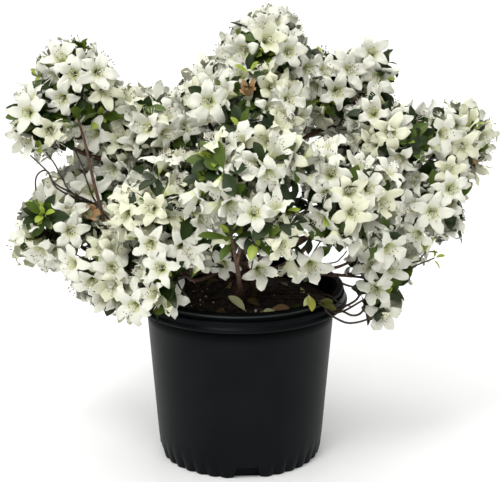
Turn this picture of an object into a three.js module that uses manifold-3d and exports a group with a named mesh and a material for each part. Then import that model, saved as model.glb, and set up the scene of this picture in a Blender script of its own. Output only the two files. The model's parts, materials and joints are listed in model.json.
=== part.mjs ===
// A white azalea in full bloom, growing in a round nursery pot.
// Millimetres, +Z up. The origin is the middle of the pot's flat underside. It is seen from the -Y side.
import * as THREE from "three";
import { mergeVertices } from "three/addons/utils/BufferGeometryUtils.js";
import Module from "manifold-3d";

const wasm = await Module();
wasm.setup();

const { PI, acos, cos, floor, max, sin } = Math;
const degrees = PI / 180;
const goldenAngle = 137.508 * degrees;
const gap = 0.3; // what touching pieces keep between them
const sliver = 0.1; // edges shorter than this are closed up after a cut or a join

// ---------------------------------------------------------------- driving sizes

const pot = {
  height: 228,
  rimRadius: 137.5,
  lipHeight: 22,
  underLipRadius: 121,
  footRadius: 106,
  footHeight: 9,
  wall: 2,
  floor: 3,
  flutes: 36,
  fluteDepth: 2.4,
  notches: 4,
  notchTopWidth: 28,
  notchFootWidth: 35,
  notchHeight: 16,
  notchDepth: 14,
  notchHeading: -85,
};

const soil = { top: 205, edgeDrop: 4, crumb: 2.2, flatRadius: 26 };

const trunk = { height: 50, leanX: -3, leanY: 3, footRadius: 14, forkRadius: 9, sides: 10 };

const bough = {
  leaderRadius: 4.6,
  sideRadius: 3.2,
  tipRadius: 1.9,
  sides: 5,
  steps: 4,
  outwardShare: 0.82, // how far out the bend of a bough lies, of its whole reach
  riseShare: 0.3, // and how high, of its whole rise
  entry: 0.55, // it ends this share of the mass's radius short of the middle
};

const truss = {
  reach: 27, // from the twig's tip to the mouth of its flower
  coneAngle: 122 * degrees, // how far round a mass its trusses spread from the outward way
};

// The leaves of a truss and of a leafy shoot: the most that it has, how far they lean off the way it
// faces, and how far below the tip each whorl of up to three has its foot.
const trussLeaves = { most: 1, tilt: 66 * degrees, below: [3] };
const shootLeaves = { most: 5, tilt: 58 * degrees, below: [2, 8] };

// One flower here stands for the two or three of a real truss.
const flower = {
  radius: 36,
  notch: 0.62,
  mouthAt: 25,
  throatAt: 13,
  recurve: 3,
  // Where one has no room it is tried again, at a share of its reach from the mass's middle and a share
  // of its size.
  tries: [
    [1, 1],
    [0.8, 1],
    [1, 0.85],
    [0.6, 1],
    [0.8, 0.85],
    [0.6, 0.8],
    [1, 0.7],
    [0.4, 0.8],
    [0.8, 0.7],
    [0.6, 0.65],
  ],
};
const leaf = { length: 36, width: 15, thickness: 1.2, widestAt: 0.56, sizes: [1, 0.85, 0.7] };
const twig = { stemRadius: 1.9, radius: 1.2, firstFork: 0.28, leafBase: 1.2, bud: 7 };

// Each mass of bloom and the bough that carries it: what the bough forks from and how far along, then the
// mass's heading round the trunk from +X, its reach from the axis, its height above the ground, its radius,
// the number of its trusses, and how many of those are leafy shoots that face the front.
const masses = [
  ["high_left", "trunk", 0.8, 177, 199, 493, 59, 7, 2],
  ["front_left", "trunk", 0.62, -130, 148, 347, 67, 8, 0],
  ["crown_top", "trunk", 0.97, 16, 35, 524, 63, 7, 1],
  ["front_centre", "trunk", 0.86, -82, 144, 412, 76, 9, 0],
  ["front_right", "trunk", 0.6, -46, 172, 361, 70, 8, 1],
  ["right_shoulder", "trunk", 0.8, -9, 187, 432, 61, 7, 0],
  ["back_left", "trunk", 0.64, 138, 182, 394, 68, 8, 0],
  ["back_centre", "trunk", 0.88, 84, 162, 422, 71, 8, 0],
  ["back_right", "trunk", 0.62, 38, 206, 399, 68, 8, 0],
  ["left_belly", "high_left", 0.42, 177, 181, 325, 56, 7, 0],
  ["far_left", "high_left", 0.7, -178, 248, 441, 52, 6, 1],
  ["left_shoulder", "crown_top", 0.4, 167, 124, 423, 65, 8, 1],
  ["left_heart", "front_left", 0.5, -160, 88, 360, 56, 7, 0],
  ["upper_left", "crown_top", 0.62, 127, 72, 451, 63, 7, 0],
  ["upper_front", "crown_top", 0.5, -70, 58, 468, 60, 7, 0],
  ["top_right", "crown_top", 0.5, 20, 110, 478, 61, 7, 1],
  ["top_right_tip", "top_right", 0.62, 10, 172, 500, 44, 4, 1],
  ["low_left", "front_left", 0.34, -154, 175, 259, 62, 7, 0],
  ["low_left_tip", "low_left", 0.6, -166, 244, 312, 52, 6, 2],
  ["front_low_left", "front_left", 0.3, -118, 162, 275, 54, 6, 1],
  ["front_low_centre", "front_centre", 0.22, -82, 178, 338, 66, 7, 1],
  ["far_right", "right_shoulder", 0.68, 2, 277, 419, 56, 7, 0],
  ["right_belly", "right_shoulder", 0.42, -9, 249, 347, 61, 7, 1],
  ["low_right", "front_right", 0.3, -18, 181, 250, 61, 7, 0],
  ["back_low_left", "back_left", 0.36, 150, 206, 290, 61, 7, 0],
  ["back_low_centre", "back_centre", 0.3, 96, 202, 315, 66, 7, 0],
  ["back_low_right", "back_right", 0.36, 34, 218, 289, 63, 7, 0],
  ["back_top", "back_centre", 0.6, 82, 96, 497, 63, 7, 0],
].map(([name, parent, forkAt, heading, reach, height, radius, trusses, leafy], index) => ({
  name,
  parent,
  forkAt,
  index,
  middle: new THREE.Vector3(
    reach * cos(heading * degrees),
    reach * sin(heading * degrees),
    height,
  ),
  radius,
  trusses,
  leafy,
}));

// ---------------------------------------------------------------- finishes

const finish = (color, roughness) => new THREE.MeshStandardMaterial({ color, roughness, metalness: 0 });
const finishes = {
  pot: finish("#1b1f22", 0.5),
  soil: finish("#1d130d", 0.95),
  bark: finish("#4a3025", 0.85),
  bloom: finish("#f2f1e6", 0.6),
};

// ---------------------------------------------------------------- helpers

// A fixed number from 0 to 1 for each set of keys, so that the plant always grows the same way.
function chance(a, b = 0, c = 0) {
  const x = sin(a * 12.9898 + b * 78.233 + c * 37.719 + 1.31) * 43758.5453;
  return x - floor(x);
}

function solidOf(geometry) {
  const flat = geometry.index ? geometry.toNonIndexed() : geometry;
  const bare = new THREE.BufferGeometry().setAttribute("position", flat.getAttribute("position"));
  const merged = mergeVertices(bare, 1e-3);
  return new wasm.Manifold(
    new wasm.Mesh({
      numProp: 3,
      vertProperties: merged.attributes.position.array,
      triVerts: new Uint32Array(merged.index.array),
    }),
  );
}

function geometryOf(solid) {
  const { vertProperties, triVerts } = solid.getMesh();
  const geometry = new THREE.BufferGeometry()
    .setAttribute("position", new THREE.BufferAttribute(vertProperties, 3))
    .setIndex(new THREE.BufferAttribute(triVerts, 1))
    .toNonIndexed();
  geometry.computeVertexNormals();
  return geometry;
}

function shape(points, faces) {
  const corners = faces.flat().flatMap((i) => points[i].toArray());
  return solidOf(
    new THREE.BufferGeometry().setAttribute("position", new THREE.Float32BufferAttribute(corners, 3)),
  );
}

function largestBody(solid) {
  const bodies = solid.decompose().filter((body) => body.volume() > 0);
  return bodies.reduce((a, b) => (b.volume() > a.volume() ? b : a));
}

// A cut or joined solid as one body, with any loose scrap, sealed hollow or hair's breadth of an edge left
// off.
function whole(solid) {
  return largestBody(solidOf(geometryOf(largestBody(solid).simplify(sliver))));
}

// A turned frame whose Z is the way given, rolled about it.
function frameAlong(way, roll) {
  const upright = new THREE.Quaternion().setFromUnitVectors(new THREE.Vector3(0, 0, 1), way);
  return upright.multiply(new THREE.Quaternion().setFromAxisAngle(new THREE.Vector3(0, 0, 1), roll));
}

// The way that lies at a tilt from an axis, at a turn round it.
function tilted(axis, tilt, turn) {
  return new THREE.Vector3(sin(tilt) * cos(turn), sin(tilt) * sin(turn), cos(tilt)).applyQuaternion(
    frameAlong(axis, 0),
  );
}

// A tapering limb with flat ends along a curve.
function limb(curve, radiusAt, sides, steps) {
  const { normals, binormals } = curve.computeFrenetFrames(steps);
  const points = [];
  for (let step = 0; step <= steps; step++) {
    const middle = curve.getPointAt(step / steps);
    const radius = radiusAt(step / steps);
    for (let side = 0; side < sides; side++) {
      const turn = (2 * PI * side) / sides;
      points.push(
        middle
          .clone()
          .addScaledVector(normals[step], radius * cos(turn))
          .addScaledVector(binormals[step], radius * sin(turn)),
      );
    }
  }
  const faces = [];
  for (let step = 0; step < steps; step++)
    for (let side = 0; side < sides; side++) {
      const [a, b] = [step * sides + side, step * sides + ((side + 1) % sides)];
      faces.push([a, b, b + sides], [a, b + sides, a + sides]);
    }
  for (let side = 1; side < sides - 1; side++) {
    const last = steps * sides;
    faces.push([0, side + 1, side], [last, last + side, last + side + 1]);
  }
  return shape(points, faces);
}

// ---------------------------------------------------------------- pot and soil

function wallRadius(z) {
  const lipFoot = pot.height - pot.lipHeight;
  const share = (z - pot.footHeight) / (lipFoot - pot.footHeight);
  return pot.footRadius + (pot.underLipRadius - pot.footRadius) * share;
}

function potSolid() {
  const { height, wall, rimRadius, lipHeight, footRadius, footHeight, flutes, fluteDepth } = pot;
  const lipFoot = height - lipHeight;
  const lipRoof = height - wall;
  const profile = [
    [0, 0],
    [footRadius - 3, 0],
    [footRadius, footHeight],
    [wallRadius(lipFoot), lipFoot],
    [wallRadius(lipFoot) + 1, lipRoof - 1],
    [rimRadius - wall - 1, lipRoof - 1],
    [rimRadius - wall, lipFoot],
    [rimRadius, lipFoot],
    [rimRadius - 3, height],
    [wallRadius(height) - wall + 3, height],
    [wallRadius(height) - wall, height - 4],
    [footRadius - 7, pot.floor],
    [0, pot.floor],
  ].map(([r, z]) => new THREE.Vector2(r, z));
  const turned = new THREE.LatheGeometry(profile, 2 * flutes);
  turned.rotateX(PI / 2);
  // The foot is fluted: every other corner of its lowest two rings is drawn in.
  const corners = turned.getAttribute("position");
  for (let i = 0; i < corners.count; i++) {
    const [x, y, z] = [corners.getX(i), corners.getY(i), corners.getZ(i)];
    const r = Math.hypot(x, y);
    const outside = z < 1 ? r > footRadius - 5 : z < footHeight + 0.5 && r > footRadius - 0.5;
    const flute = Math.round((Math.atan2(y, x) / (2 * PI)) * 2 * flutes);
    const share = (r - fluteDepth) / r;
    if (outside && flute % 2) corners.setXY(i, x * share, y * share);
  }
  let solid = solidOf(turned);
  // Drain notches through the foot of the wall.
  const notch = new THREE.ExtrudeGeometry(
    new THREE.Shape([
      new THREE.Vector2(-pot.notchFootWidth / 2, -1),
      new THREE.Vector2(pot.notchFootWidth / 2, -1),
      new THREE.Vector2(pot.notchTopWidth / 2, pot.notchHeight),
      new THREE.Vector2(-pot.notchTopWidth / 2, pot.notchHeight),
    ]),
    { depth: 2 * pot.notchDepth, bevelEnabled: false },
  );
  notch.rotateX(PI / 2).rotateZ(PI / 2);
  notch.translate(footRadius - pot.notchDepth, 0, 0);
  for (let n = 0; n < pot.notches; n++) {
    const turn = pot.notchHeading * degrees + (2 * PI * n) / pot.notches;
    solid = solid.subtract(solidOf(notch.clone().rotateZ(turn)));
  }
  return solid;
}

function soilSolid() {
  const clear = pot.wall + gap + 0.4;
  const bottom = pot.floor + gap;
  const edge = soil.top - soil.edgeDrop;
  const profile = [
    [0, bottom],
    [pot.footRadius - 8, bottom],
    [wallRadius(edge) - clear, edge],
    [wallRadius(edge) - 14, edge + 1.5],
    [82, soil.top - 1],
    [54, soil.top + 0.5],
    [soil.flatRadius, soil.top],
    [0, soil.top],
  ].map(([r, z]) => new THREE.Vector2(r, z));
  const turned = new THREE.LatheGeometry(profile, 32);
  turned.rotateX(PI / 2);
  const corners = turned.getAttribute("position");
  for (let i = 0; i < corners.count; i++) {
    const [x, y, z] = [corners.getX(i), corners.getY(i), corners.getZ(i)];
    const r = Math.hypot(x, y);
    const crumbs = z > edge + 1 && r > soil.flatRadius + 1;
    if (crumbs) corners.setZ(i, z + soil.crumb * (chance(Math.round(x), Math.round(y)) - 0.5) * 2);
  }
  return solidOf(turned);
}

// ---------------------------------------------------------------- trunk and boughs

const heart = new THREE.Vector3(0, 0, soil.top + trunk.height);

const trunkCurve = new THREE.QuadraticBezierCurve3(
  new THREE.Vector3(0, 0, soil.top + gap),
  new THREE.Vector3(0, 0, soil.top + trunk.height * 0.5),
  new THREE.Vector3(trunk.leanX, trunk.leanY, soil.top + trunk.height),
);
const trunkRadius = (share) => trunk.forkRadius + (trunk.footRadius - trunk.forkRadius) * (1 - share) ** 3;

// A mass keeps to the space that is nearer to it than to any other, weighed by their radii.
function inOwnSpace(point, mass, margin = 0.5) {
  return masses.every((other) => {
    if (other === mass) return true;
    const apart = other.middle.distanceTo(mass.middle);
    const own = point.distanceToSquared(mass.middle) - mass.radius ** 2;
    const theirs = point.distanceToSquared(other.middle) - other.radius ** 2;
    return (theirs - own) / (2 * apart) > margin;
  });
}

for (const mass of masses) {
  mass.outward = mass.middle.clone().sub(heart).normalize();
  let depth = bough.entry * mass.radius;
  while (depth > 2 && !inOwnSpace(mass.middle.clone().addScaledVector(mass.outward, -depth), mass, 2))
    depth -= 1;
  const parent = masses.find((m) => m.name === mass.parent);
  const carrier = parent ? parent.curve : trunkCurve;
  const start = carrier.getPointAt(mass.forkAt);
  const end = mass.middle.clone().addScaledVector(mass.outward, -depth);
  const bend = new THREE.Vector3(
    start.x + (end.x - start.x) * bough.outwardShare,
    start.y + (end.y - start.y) * bough.outwardShare,
    start.z + (end.z - start.z) * bough.riseShare,
  );
  mass.curve = new THREE.QuadraticBezierCurve3(start, bend, end);
  const rootRadius = parent ? bough.sideRadius : bough.leaderRadius;
  mass.radiusAt = (share) => rootRadius + (bough.tipRadius - rootRadius) * share;
}

const potMade = potSolid();
const soilMade = soilSolid();
const trunkMade = limb(trunkCurve, trunkRadius, trunk.sides, 6);
const trunkSpace = limb(trunkCurve, (share) => trunkRadius(share) + gap, trunk.sides, 6);

// Each bough is cut clear of the trunk and of the boughs made before it.
const boughSpaces = [];
for (const mass of masses) {
  const grown = limb(mass.curve, mass.radiusAt, bough.sides, bough.steps);
  const cut = [trunkSpace, ...boughSpaces].reduce((solid, space) => solid.subtract(space), grown);
  mass.bough = whole(cut);
  boughSpaces.push(limb(mass.curve, (share) => mass.radiusAt(share) + gap, bough.sides, bough.steps));
}
const keptClear = [trunkSpace, ...boughSpaces, potMade, soilMade];

// ---------------------------------------------------------------- masses of bloom

// The rim corners of a funnel of five lobes, then its throat and the foot that it springs from.
function flowerPoints(foot, turn, size) {
  const place = (x, y, z) =>
    new THREE.Vector3(x, y, z).multiplyScalar(size).applyQuaternion(turn).add(foot);
  const rim = [];
  for (let i = 0; i < 10; i++) {
    const radius = flower.radius * (i % 2 ? flower.notch : 1);
    const height = flower.mouthAt - (i % 2 ? 0 : flower.recurve);
    rim.push(place(radius * cos((i * PI) / 5), radius * sin((i * PI) / 5), height));
  }
  return { rim, throat: place(0, 0, flower.throatAt), foot };
}

function flowerSolid({ rim, throat, foot }) {
  const faces = rim.flatMap((_, i) => [
    [i, (i + 1) % 10, 10],
    [(i + 1) % 10, i, 11],
  ]);
  return shape([...rim, throat, foot], faces);
}

// The left corner, point, right corner and raised midrib of a leaf's blade on one side of a twig.
function bladePoints(foot, turn, side, tilt, size) {
  const heading = (2 * PI * (side + 0.5)) / 3;
  const outward = new THREE.Vector3(cos(heading), sin(heading), 0);
  const across = new THREE.Vector3(-sin(heading), cos(heading), 0);
  const up = new THREE.Vector3(0, 0, 1);
  const along = up.clone().multiplyScalar(cos(tilt)).addScaledVector(outward, sin(tilt));
  const above = up.clone().multiplyScalar(sin(tilt)).addScaledVector(outward, -cos(tilt));
  const place = (length, width, height) =>
    new THREE.Vector3()
      .addScaledVector(along, length * size)
      .addScaledVector(across, width * size)
      .addScaledVector(above, height)
      .applyQuaternion(turn)
      .add(foot);
  const shoulder = leaf.length * leaf.widestAt;
  return [
    place(shoulder, -leaf.width / 2, 0),
    place(leaf.length, 0, 0),
    place(shoulder, leaf.width / 2, 0),
    place(leaf.length / 2, 0, leaf.thickness),
  ];
}

function bladeSolid(foot, blade) {
  const rim = [0, 1, 2, 3].map((i) => [(i + 1) % 4, i, 4]);
  return shape([foot, ...blade], [[0, 3, 2], [0, 2, 1], ...rim.map((face) => [...face].reverse())]);
}

// A truss in one skin: a three-sided twig, blades let into its sides at each of its levels, and on its end
// a funnel or a bud. A level is the height of its blades' foot below the tip, and the blade of each side or
// none.
function trussSolid({ root, tip, facing, turn, levels, funnel }) {
  const points = [];
  const faces = [];
  const ring = (middle) => {
    for (let side = 0; side < 3; side++) {
      const corner = new THREE.Vector3(cos((2 * PI * side) / 3), sin((2 * PI * side) / 3), 0);
      points.push(corner.multiplyScalar(twig.radius).applyQuaternion(turn).add(middle));
    }
    return points.length - 3;
  };
  const join = (lower, upper, blades) => {
    for (let side = 0; side < 3; side++) {
      const next = (side + 1) % 3;
      const [a, b, c, d] = [lower + side, lower + next, upper + next, upper + side];
      if (!blades[side]) {
        faces.push([a, b, c], [a, c, d]);
        continue;
      }
      const left = points.push(...blades[side]) - 4;
      const [point, right, rib] = [left + 1, left + 2, left + 3];
      faces.push([a, b, right], [a, right, point], [a, point, left], [b, c, right], [d, a, left]);
      faces.push([d, left, rib], [left, point, rib], [point, right, rib], [right, c, rib], [c, d, rib]);
    }
  };
  let last = ring(root);
  faces.push([last + 2, last + 1, last]);
  for (const { below, blades } of [...levels].sort((a, b) => b.below - a.below)) {
    const lower = ring(tip.clone().addScaledVector(facing, -below - twig.leafBase / 2));
    const upper = ring(tip.clone().addScaledVector(facing, -below + twig.leafBase / 2));
    join(last, lower, []);
    join(lower, upper, blades);
    last = upper;
  }
  const end = ring(tip);
  join(last, end, []);
  if (!funnel) {
    points.push(tip.clone().addScaledVector(facing, twig.bud));
    const point = points.length - 1;
    for (let side = 0; side < 3; side++) faces.push([end + side, end + ((side + 1) % 3), point]);
    return shape(points, faces);
  }
  const rim = points.push(...funnel.rim, funnel.throat) - 11;
  const nearest = (i) => end + (Math.round((i * 3) / 10) % 3);
  for (let i = 0; i < 10; i++) {
    const j = (i + 1) % 10;
    faces.push([rim + i, rim + j, rim + 10], [nearest(i), rim + j, rim + i]);
    if (nearest(i) !== nearest(j)) faces.push([nearest(i), nearest(j), rim + j]);
  }
  return shape(points, faces);
}

// Each truss's tip and the way it faces: they spiral round a mass from its outward side.
function trussesOf(mass) {
  const made = [];
  for (let index = 0; index < mass.trusses; index++) {
    const spread = ((index + 0.5) / mass.trusses) * (1 - cos(truss.coneAngle));
    const turn = index * goldenAngle + 2 * PI * chance(mass.index, 3);
    const way = tilted(mass.outward, acos(1 - spread), turn);
    const tip = mass.middle.clone().addScaledVector(way, max(mass.radius - truss.reach, 4));
    made.push({ tip, facing: way, index, shoot: false });
  }
  const fromFront = [...made].sort((a, b) => a.facing.y - b.facing.y);
  for (const one of fromFront.slice(0, mass.leafy)) one.shoot = true;
  return made;
}

const touchesLimb = (solid) => keptClear.some((space) => !space.intersect(solid).isEmpty());
const twigSolid = (root, tip) => limb(new THREE.LineCurve3(root, tip), () => twig.radius, 3, 1);

// A mass of bloom. The trusses without room for a flower are leafy shoots, and a twig that would touch a
// limb is left off.
function massSolid(mass) {
  // What is placed keeps to the mass's own space, clear of the limbs and of what other trusses hold.
  const placed = [];
  const isFree = (points, solid, trussIndex) =>
    points.every((p) => inOwnSpace(p, mass)) &&
    !touchesLimb(solid) &&
    placed.every((other) => other.trussIndex === trussIndex || other.solid.intersect(solid).isEmpty());

  // The stem goes on from the bough's tip, and the twigs fork from it: the outermost from nearest its top.
  const tipWay = mass.curve.getTangentAt(1);
  const foot = mass.curve.getPointAt(1).addScaledVector(tipWay, gap);
  const top = mass.middle.clone().addScaledVector(mass.outward, 0.15 * mass.radius);
  const bend = foot.clone().addScaledVector(tipWay, foot.distanceTo(top) / 2);
  const stemCurve = new THREE.QuadraticBezierCurve3(foot, bend, top);

  const trusses = trussesOf(mass);
  for (const one of trusses) {
    const share = (mass.trusses - one.index) / mass.trusses;
    one.root = stemCurve.getPointAt(twig.firstFork + (1 - twig.firstFork) * share);
    one.turn = frameAlong(one.facing, 2 * PI * chance(mass.index, one.index, 5));
    if (one.shoot) continue;
    for (const [reachShare, size] of flower.tries) {
      const tip = mass.middle.clone().lerp(one.tip, reachShare);
      const funnel = flowerPoints(tip, one.turn, size);
      const solid = flowerSolid(funnel);
      if (!isFree(funnel.rim, solid, one.index) || touchesLimb(twigSolid(one.root, tip))) continue;
      placed.push({ trussIndex: one.index, solid });
      one.tip = tip;
      one.funnel = funnel;
      break;
    }
  }
  for (const one of trusses) {
    const { most, tilt, below } = one.funnel ? trussLeaves : shootLeaves;
    let left = most;
    one.levels = below.map((drop) => ({ below: drop, blades: [] }));
    for (const level of one.levels) {
      const base = one.tip.clone().addScaledVector(one.facing, -level.below);
      for (let side = 0; side < 3 && left > 0; side++)
        for (const size of leaf.sizes) {
          const blade = bladePoints(base, one.turn, side, tilt, size);
          const solid = bladeSolid(base, blade);
          if (!isFree(blade, solid, one.index)) continue;
          placed.push({ trussIndex: one.index, solid });
          level.blades[side] = blade;
          left -= 1;
          break;
        }
    }
    one.levels = one.levels.filter(({ blades }) => blades.some(Boolean));
  }
  const stem = limb(stemCurve, () => twig.stemRadius, 3, 2);
  const grown = trusses.filter((one) => one.funnel || !touchesLimb(twigSolid(one.root, one.tip)));
  return whole(wasm.Manifold.union([stem, ...grown.map(trussSolid)]));
}

// ---------------------------------------------------------------- the azalea

const azalea = new THREE.Group();
azalea.name = "azalea";

function add(name, solid, material) {
  const mesh = new THREE.Mesh(geometryOf(solid), material);
  mesh.name = name;
  azalea.add(mesh);
}

add("pot", potMade, finishes.pot);
add("potting_mix", soilMade, finishes.soil);
add("trunk", trunkMade, finishes.bark);
for (const mass of masses) add("bough_" + mass.name, mass.bough, finishes.bark);
for (const mass of masses) add("bloom_" + mass.name, massSolid(mass), finishes.bloom);

export default azalea;
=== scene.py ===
import json
import math

import bpy
import numpy as np
from mathutils import Matrix, Quaternion, Vector, noise

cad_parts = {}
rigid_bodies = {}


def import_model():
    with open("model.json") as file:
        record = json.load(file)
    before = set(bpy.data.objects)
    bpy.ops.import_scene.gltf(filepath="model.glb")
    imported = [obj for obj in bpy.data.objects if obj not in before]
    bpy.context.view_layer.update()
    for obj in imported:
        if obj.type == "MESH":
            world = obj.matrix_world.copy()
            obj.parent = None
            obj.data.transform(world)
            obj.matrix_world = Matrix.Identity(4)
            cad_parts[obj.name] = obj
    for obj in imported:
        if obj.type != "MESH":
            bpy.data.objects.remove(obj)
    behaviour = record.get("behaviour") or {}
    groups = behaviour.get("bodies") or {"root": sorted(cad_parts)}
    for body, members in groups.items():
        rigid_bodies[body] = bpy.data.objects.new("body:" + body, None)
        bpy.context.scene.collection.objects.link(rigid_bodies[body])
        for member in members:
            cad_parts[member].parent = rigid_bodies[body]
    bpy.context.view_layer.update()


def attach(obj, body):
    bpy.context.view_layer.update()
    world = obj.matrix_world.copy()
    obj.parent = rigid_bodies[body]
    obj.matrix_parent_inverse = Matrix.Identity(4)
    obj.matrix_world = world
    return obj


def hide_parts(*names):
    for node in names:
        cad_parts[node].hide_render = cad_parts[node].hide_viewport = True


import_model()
mm = 0.001
up = Vector((0, 0, 1))
goldenAngle = math.radians(137.508)


# Small helpers

def tone(hexCode):
    parts = [int(hexCode[i:i + 2], 16) / 255 for i in (1, 3, 5)]
    return tuple(c / 12.92 if c <= 0.04045 else ((c + 0.055) / 1.055) ** 2.4 for c in parts) + (1.0,)


# Adds a node, sets its properties or sockets, and links other nodes' outputs into it.
def addNode(tree, kind, settings=None, links=None):
    node = tree.nodes.new(kind)
    for key, value in (settings or {}).items():
        if hasattr(node, str(key)):
            setattr(node, key, value)
        else:
            node.inputs[key].default_value = value
    for key, source in (links or {}).items():
        tree.links.new(source, node.inputs[key])
    return node


# A fixed number from 0 to 1 for each set of keys, so that the plant always grows the same way.
def chance(a, b=0, c=0):
    x = math.sin(a * 12.9898 + b * 78.233 + c * 37.719 + 1.31) * 43758.5453
    return x - math.floor(x)


# The same, from a pair of a least value and a span, or as a turn all round.
def dealt(pair, *keys):
    return pair[0] + pair[1] * chance(*keys)


def dealtTurn(*keys):
    return 2 * math.pi * chance(*keys)


def newObject(name, mesh):
    made = bpy.data.objects.new(name, mesh)
    bpy.context.scene.collection.objects.link(made)
    return made


def meshFrom(name, points, faces, smooth=True):
    mesh = bpy.data.meshes.new(name)
    mesh.from_pydata((np.asarray(points, dtype=float) * mm).tolist(), [], faces)
    mesh.polygons.foreach_set("use_smooth", [smooth] * len(mesh.polygons))
    mesh.update()
    return mesh


# Gives a piece the plain mesh that its modifier makes of it, and takes the modifier off.
def settle(piece, modifier):
    made = bpy.data.meshes.new_from_object(piece.evaluated_get(bpy.context.evaluated_depsgraph_get()))
    piece.modifiers.remove(modifier)
    piece.data = made
    return made


# A growing list of points and faces that many small shapes are poured into.
class Heap:
    def __init__(self):
        self.points, self.faces, self.count = [], [], 0

    def pour(self, points, faces):
        self.points.extend(points)
        self.faces.extend([[i + self.count for i in face] for face in faces])
        self.count += len(points)


# The quads between rows of points that have the same number of columns.
def quads(rows, columns, closed=False, flipped=False):
    faces = []
    for i in range(rows - 1):
        for k in range(columns if closed else columns - 1):
            a, b = i * columns + k, i * columns + (k + 1) % columns
            faces.append([a, a + columns, b + columns, b] if flipped else [a, b, b + columns, a + columns])
    return faces


# A turn whose Z lies along a way and whose Y leans towards the upper side given.
def turnTo(way, upper):
    z = way.normalized()
    y = upper - z * upper.dot(z)
    y = y.normalized() if y.length > 1e-6 else z.orthogonal().normalized()
    return Matrix((y.cross(z), y, z)).transposed().to_quaternion()


def frameAlong(way, roll):
    return up.rotation_difference(way) @ Quaternion(up, roll)


# The way that lies at a tilt from an axis, at a turn round it.
def tilted(axis, tilt, turn):
    way = Vector((math.sin(tilt) * math.cos(turn), math.sin(tilt) * math.sin(turn), math.cos(tilt)))
    return frameAlong(axis, 0) @ way


# A point of the curve that runs from one point to another and bends once.
def bentPoint(start, bend, end, t):
    return start * (1 - t) ** 2 + bend * 2 * t * (1 - t) + end * t * t


# The same curve, measured along its length.
def bentCurve(start, bend, end):
    spots = [bentPoint(start, bend, end, t) for t in np.linspace(0, 1, 101)]
    reach = np.cumsum([0] + [(b - a).length for a, b in zip(spots, spots[1:])])
    return {"spots": spots, "reach": reach}


def along(curve, share):
    spots, reach = curve["spots"], curve["reach"]
    spot = np.interp(share * reach[-1], reach, range(len(spots)))
    i = min(int(spot), len(spots) - 2)
    return spots[i].lerp(spots[i + 1], spot - i)


def wayAlong(curve, share):
    return (along(curve, min(share + 0.01, 1)) - along(curve, max(share - 0.01, 0))).normalized()


# A closed tube along a path, with a radius for each point of it. relief(distance, angle) scales the radius.
def tube(heap, path, radii, sides, relief=None):
    way = (path[1] - path[0]).normalized()
    side = way.orthogonal().normalized()
    points, distance = [], 0
    for i, spot in enumerate(path):
        nextWay = (path[min(i + 1, len(path) - 1)] - path[max(i - 1, 0)]).normalized()
        side = way.rotation_difference(nextWay) @ side
        way = nextWay
        other = way.cross(side)
        distance += (spot - path[i - 1]).length if i else 0
        for k in range(sides):
            angle = 2 * math.pi * k / sides
            reach = radii[i] * (relief(distance, angle) if relief else 1)
            points.append(spot + side * (reach * math.cos(angle)) + other * (reach * math.sin(angle)))
    ends = [list(range(sides))[::-1], [(len(path) - 1) * sides + k for k in range(sides)]]
    heap.pour(points, quads(len(path), sides, closed=True) + ends)


# A tube along a whole curve, from one radius to another.
def tubeAlong(heap, curve, rings, radii, sides, relief=None):
    tube(heap, [along(curve, t) for t in np.linspace(0, 1, rings)], np.linspace(*radii, rings), sides, relief)


def dress(piece, slot, *nodes):
    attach(piece, "root")
    if nodes:
        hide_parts(*nodes)


# Materials

def principled(name, color, roughness, **sockets):
    material = bpy.data.materials.new(name)
    material.use_nodes = True
    shader = material.node_tree.nodes["Principled BSDF"]
    for socket, value in {"Base Color": tone(color), "Roughness": roughness, **sockets}.items():
        shader.inputs[socket].default_value = value
    return material


# Arithmetic on two values, each a number or another node's output.
def reckon(tree, operation, first, second):
    numbers = {i: value for i, value in enumerate((first, second)) if isinstance(value, float)}
    links = {i: value for i, value in enumerate((first, second)) if i not in numbers}
    return addNode(tree, "ShaderNodeMath", {"operation": operation, **numbers}, links).outputs[0]


# Between these values of its noise a mottled colour passes from the first of its two to the second.
mottle = {"from": 0.35, "to": 0.65, "patchDetail": 5.0, "grainDetail": 4.0, "bump": 0.6}


# A colour that wanders between two others in patches of a real size, with a bump at another size.
def mottled(name, colors, patch, roughness, grain, height, **sockets):
    material = principled(name, colors[0], roughness, **sockets)
    tree = material.node_tree
    shader = tree.nodes["Principled BSDF"]
    place = {"Vector": addNode(tree, "ShaderNodeTexCoord").outputs["Object"]}
    patches, grains = (
        addNode(tree, "ShaderNodeTexNoise", {"Scale": 1 / (size * mm), "Detail": detail}, place).outputs["Fac"]
        for size, detail in ((patch, mottle["patchDetail"]), (grain, mottle["grainDetail"]))
    )
    ramp = addNode(tree, "ShaderNodeValToRGB", links={"Fac": patches})
    for end, position, color in zip(ramp.color_ramp.elements, (mottle["from"], mottle["to"]), colors):
        end.position, end.color = position, tone(color)
    tree.links.new(ramp.outputs["Color"], shader.inputs["Base Color"])
    relief = {"Strength": mottle["bump"], "Distance": height * mm}
    bump = addNode(tree, "ShaderNodeBump", relief, {"Height": grains})
    tree.links.new(bump.outputs["Normal"], shader.inputs["Normal"])
    return material


# Petals and leaves have plain colours, because thousands of them are joined in one piece: the colours are
# dealt out by truss. Petal tissue is thin and full of air, so it is matt and very white.
petalWhite = principled("petal tissue white", "#d8d8ca", 0.62)
petalIvory = principled("petal tissue ivory", "#d8d8be", 0.62)
petalFoot = principled("petal foot cream", "#d4d6b2", 0.62)
throatLime = principled("petal throat lime", "#bcc383", 0.6)
petalWilted = principled("wilted petal", "#a5855c", 0.75)
# Filaments are smooth and pale, and their anthers dry and powdery.
filamentWhite = principled("stamen filament", "#e9e9da", 0.5)
antherBrown = principled("anther brown", "#5c412c", 0.8)
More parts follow.
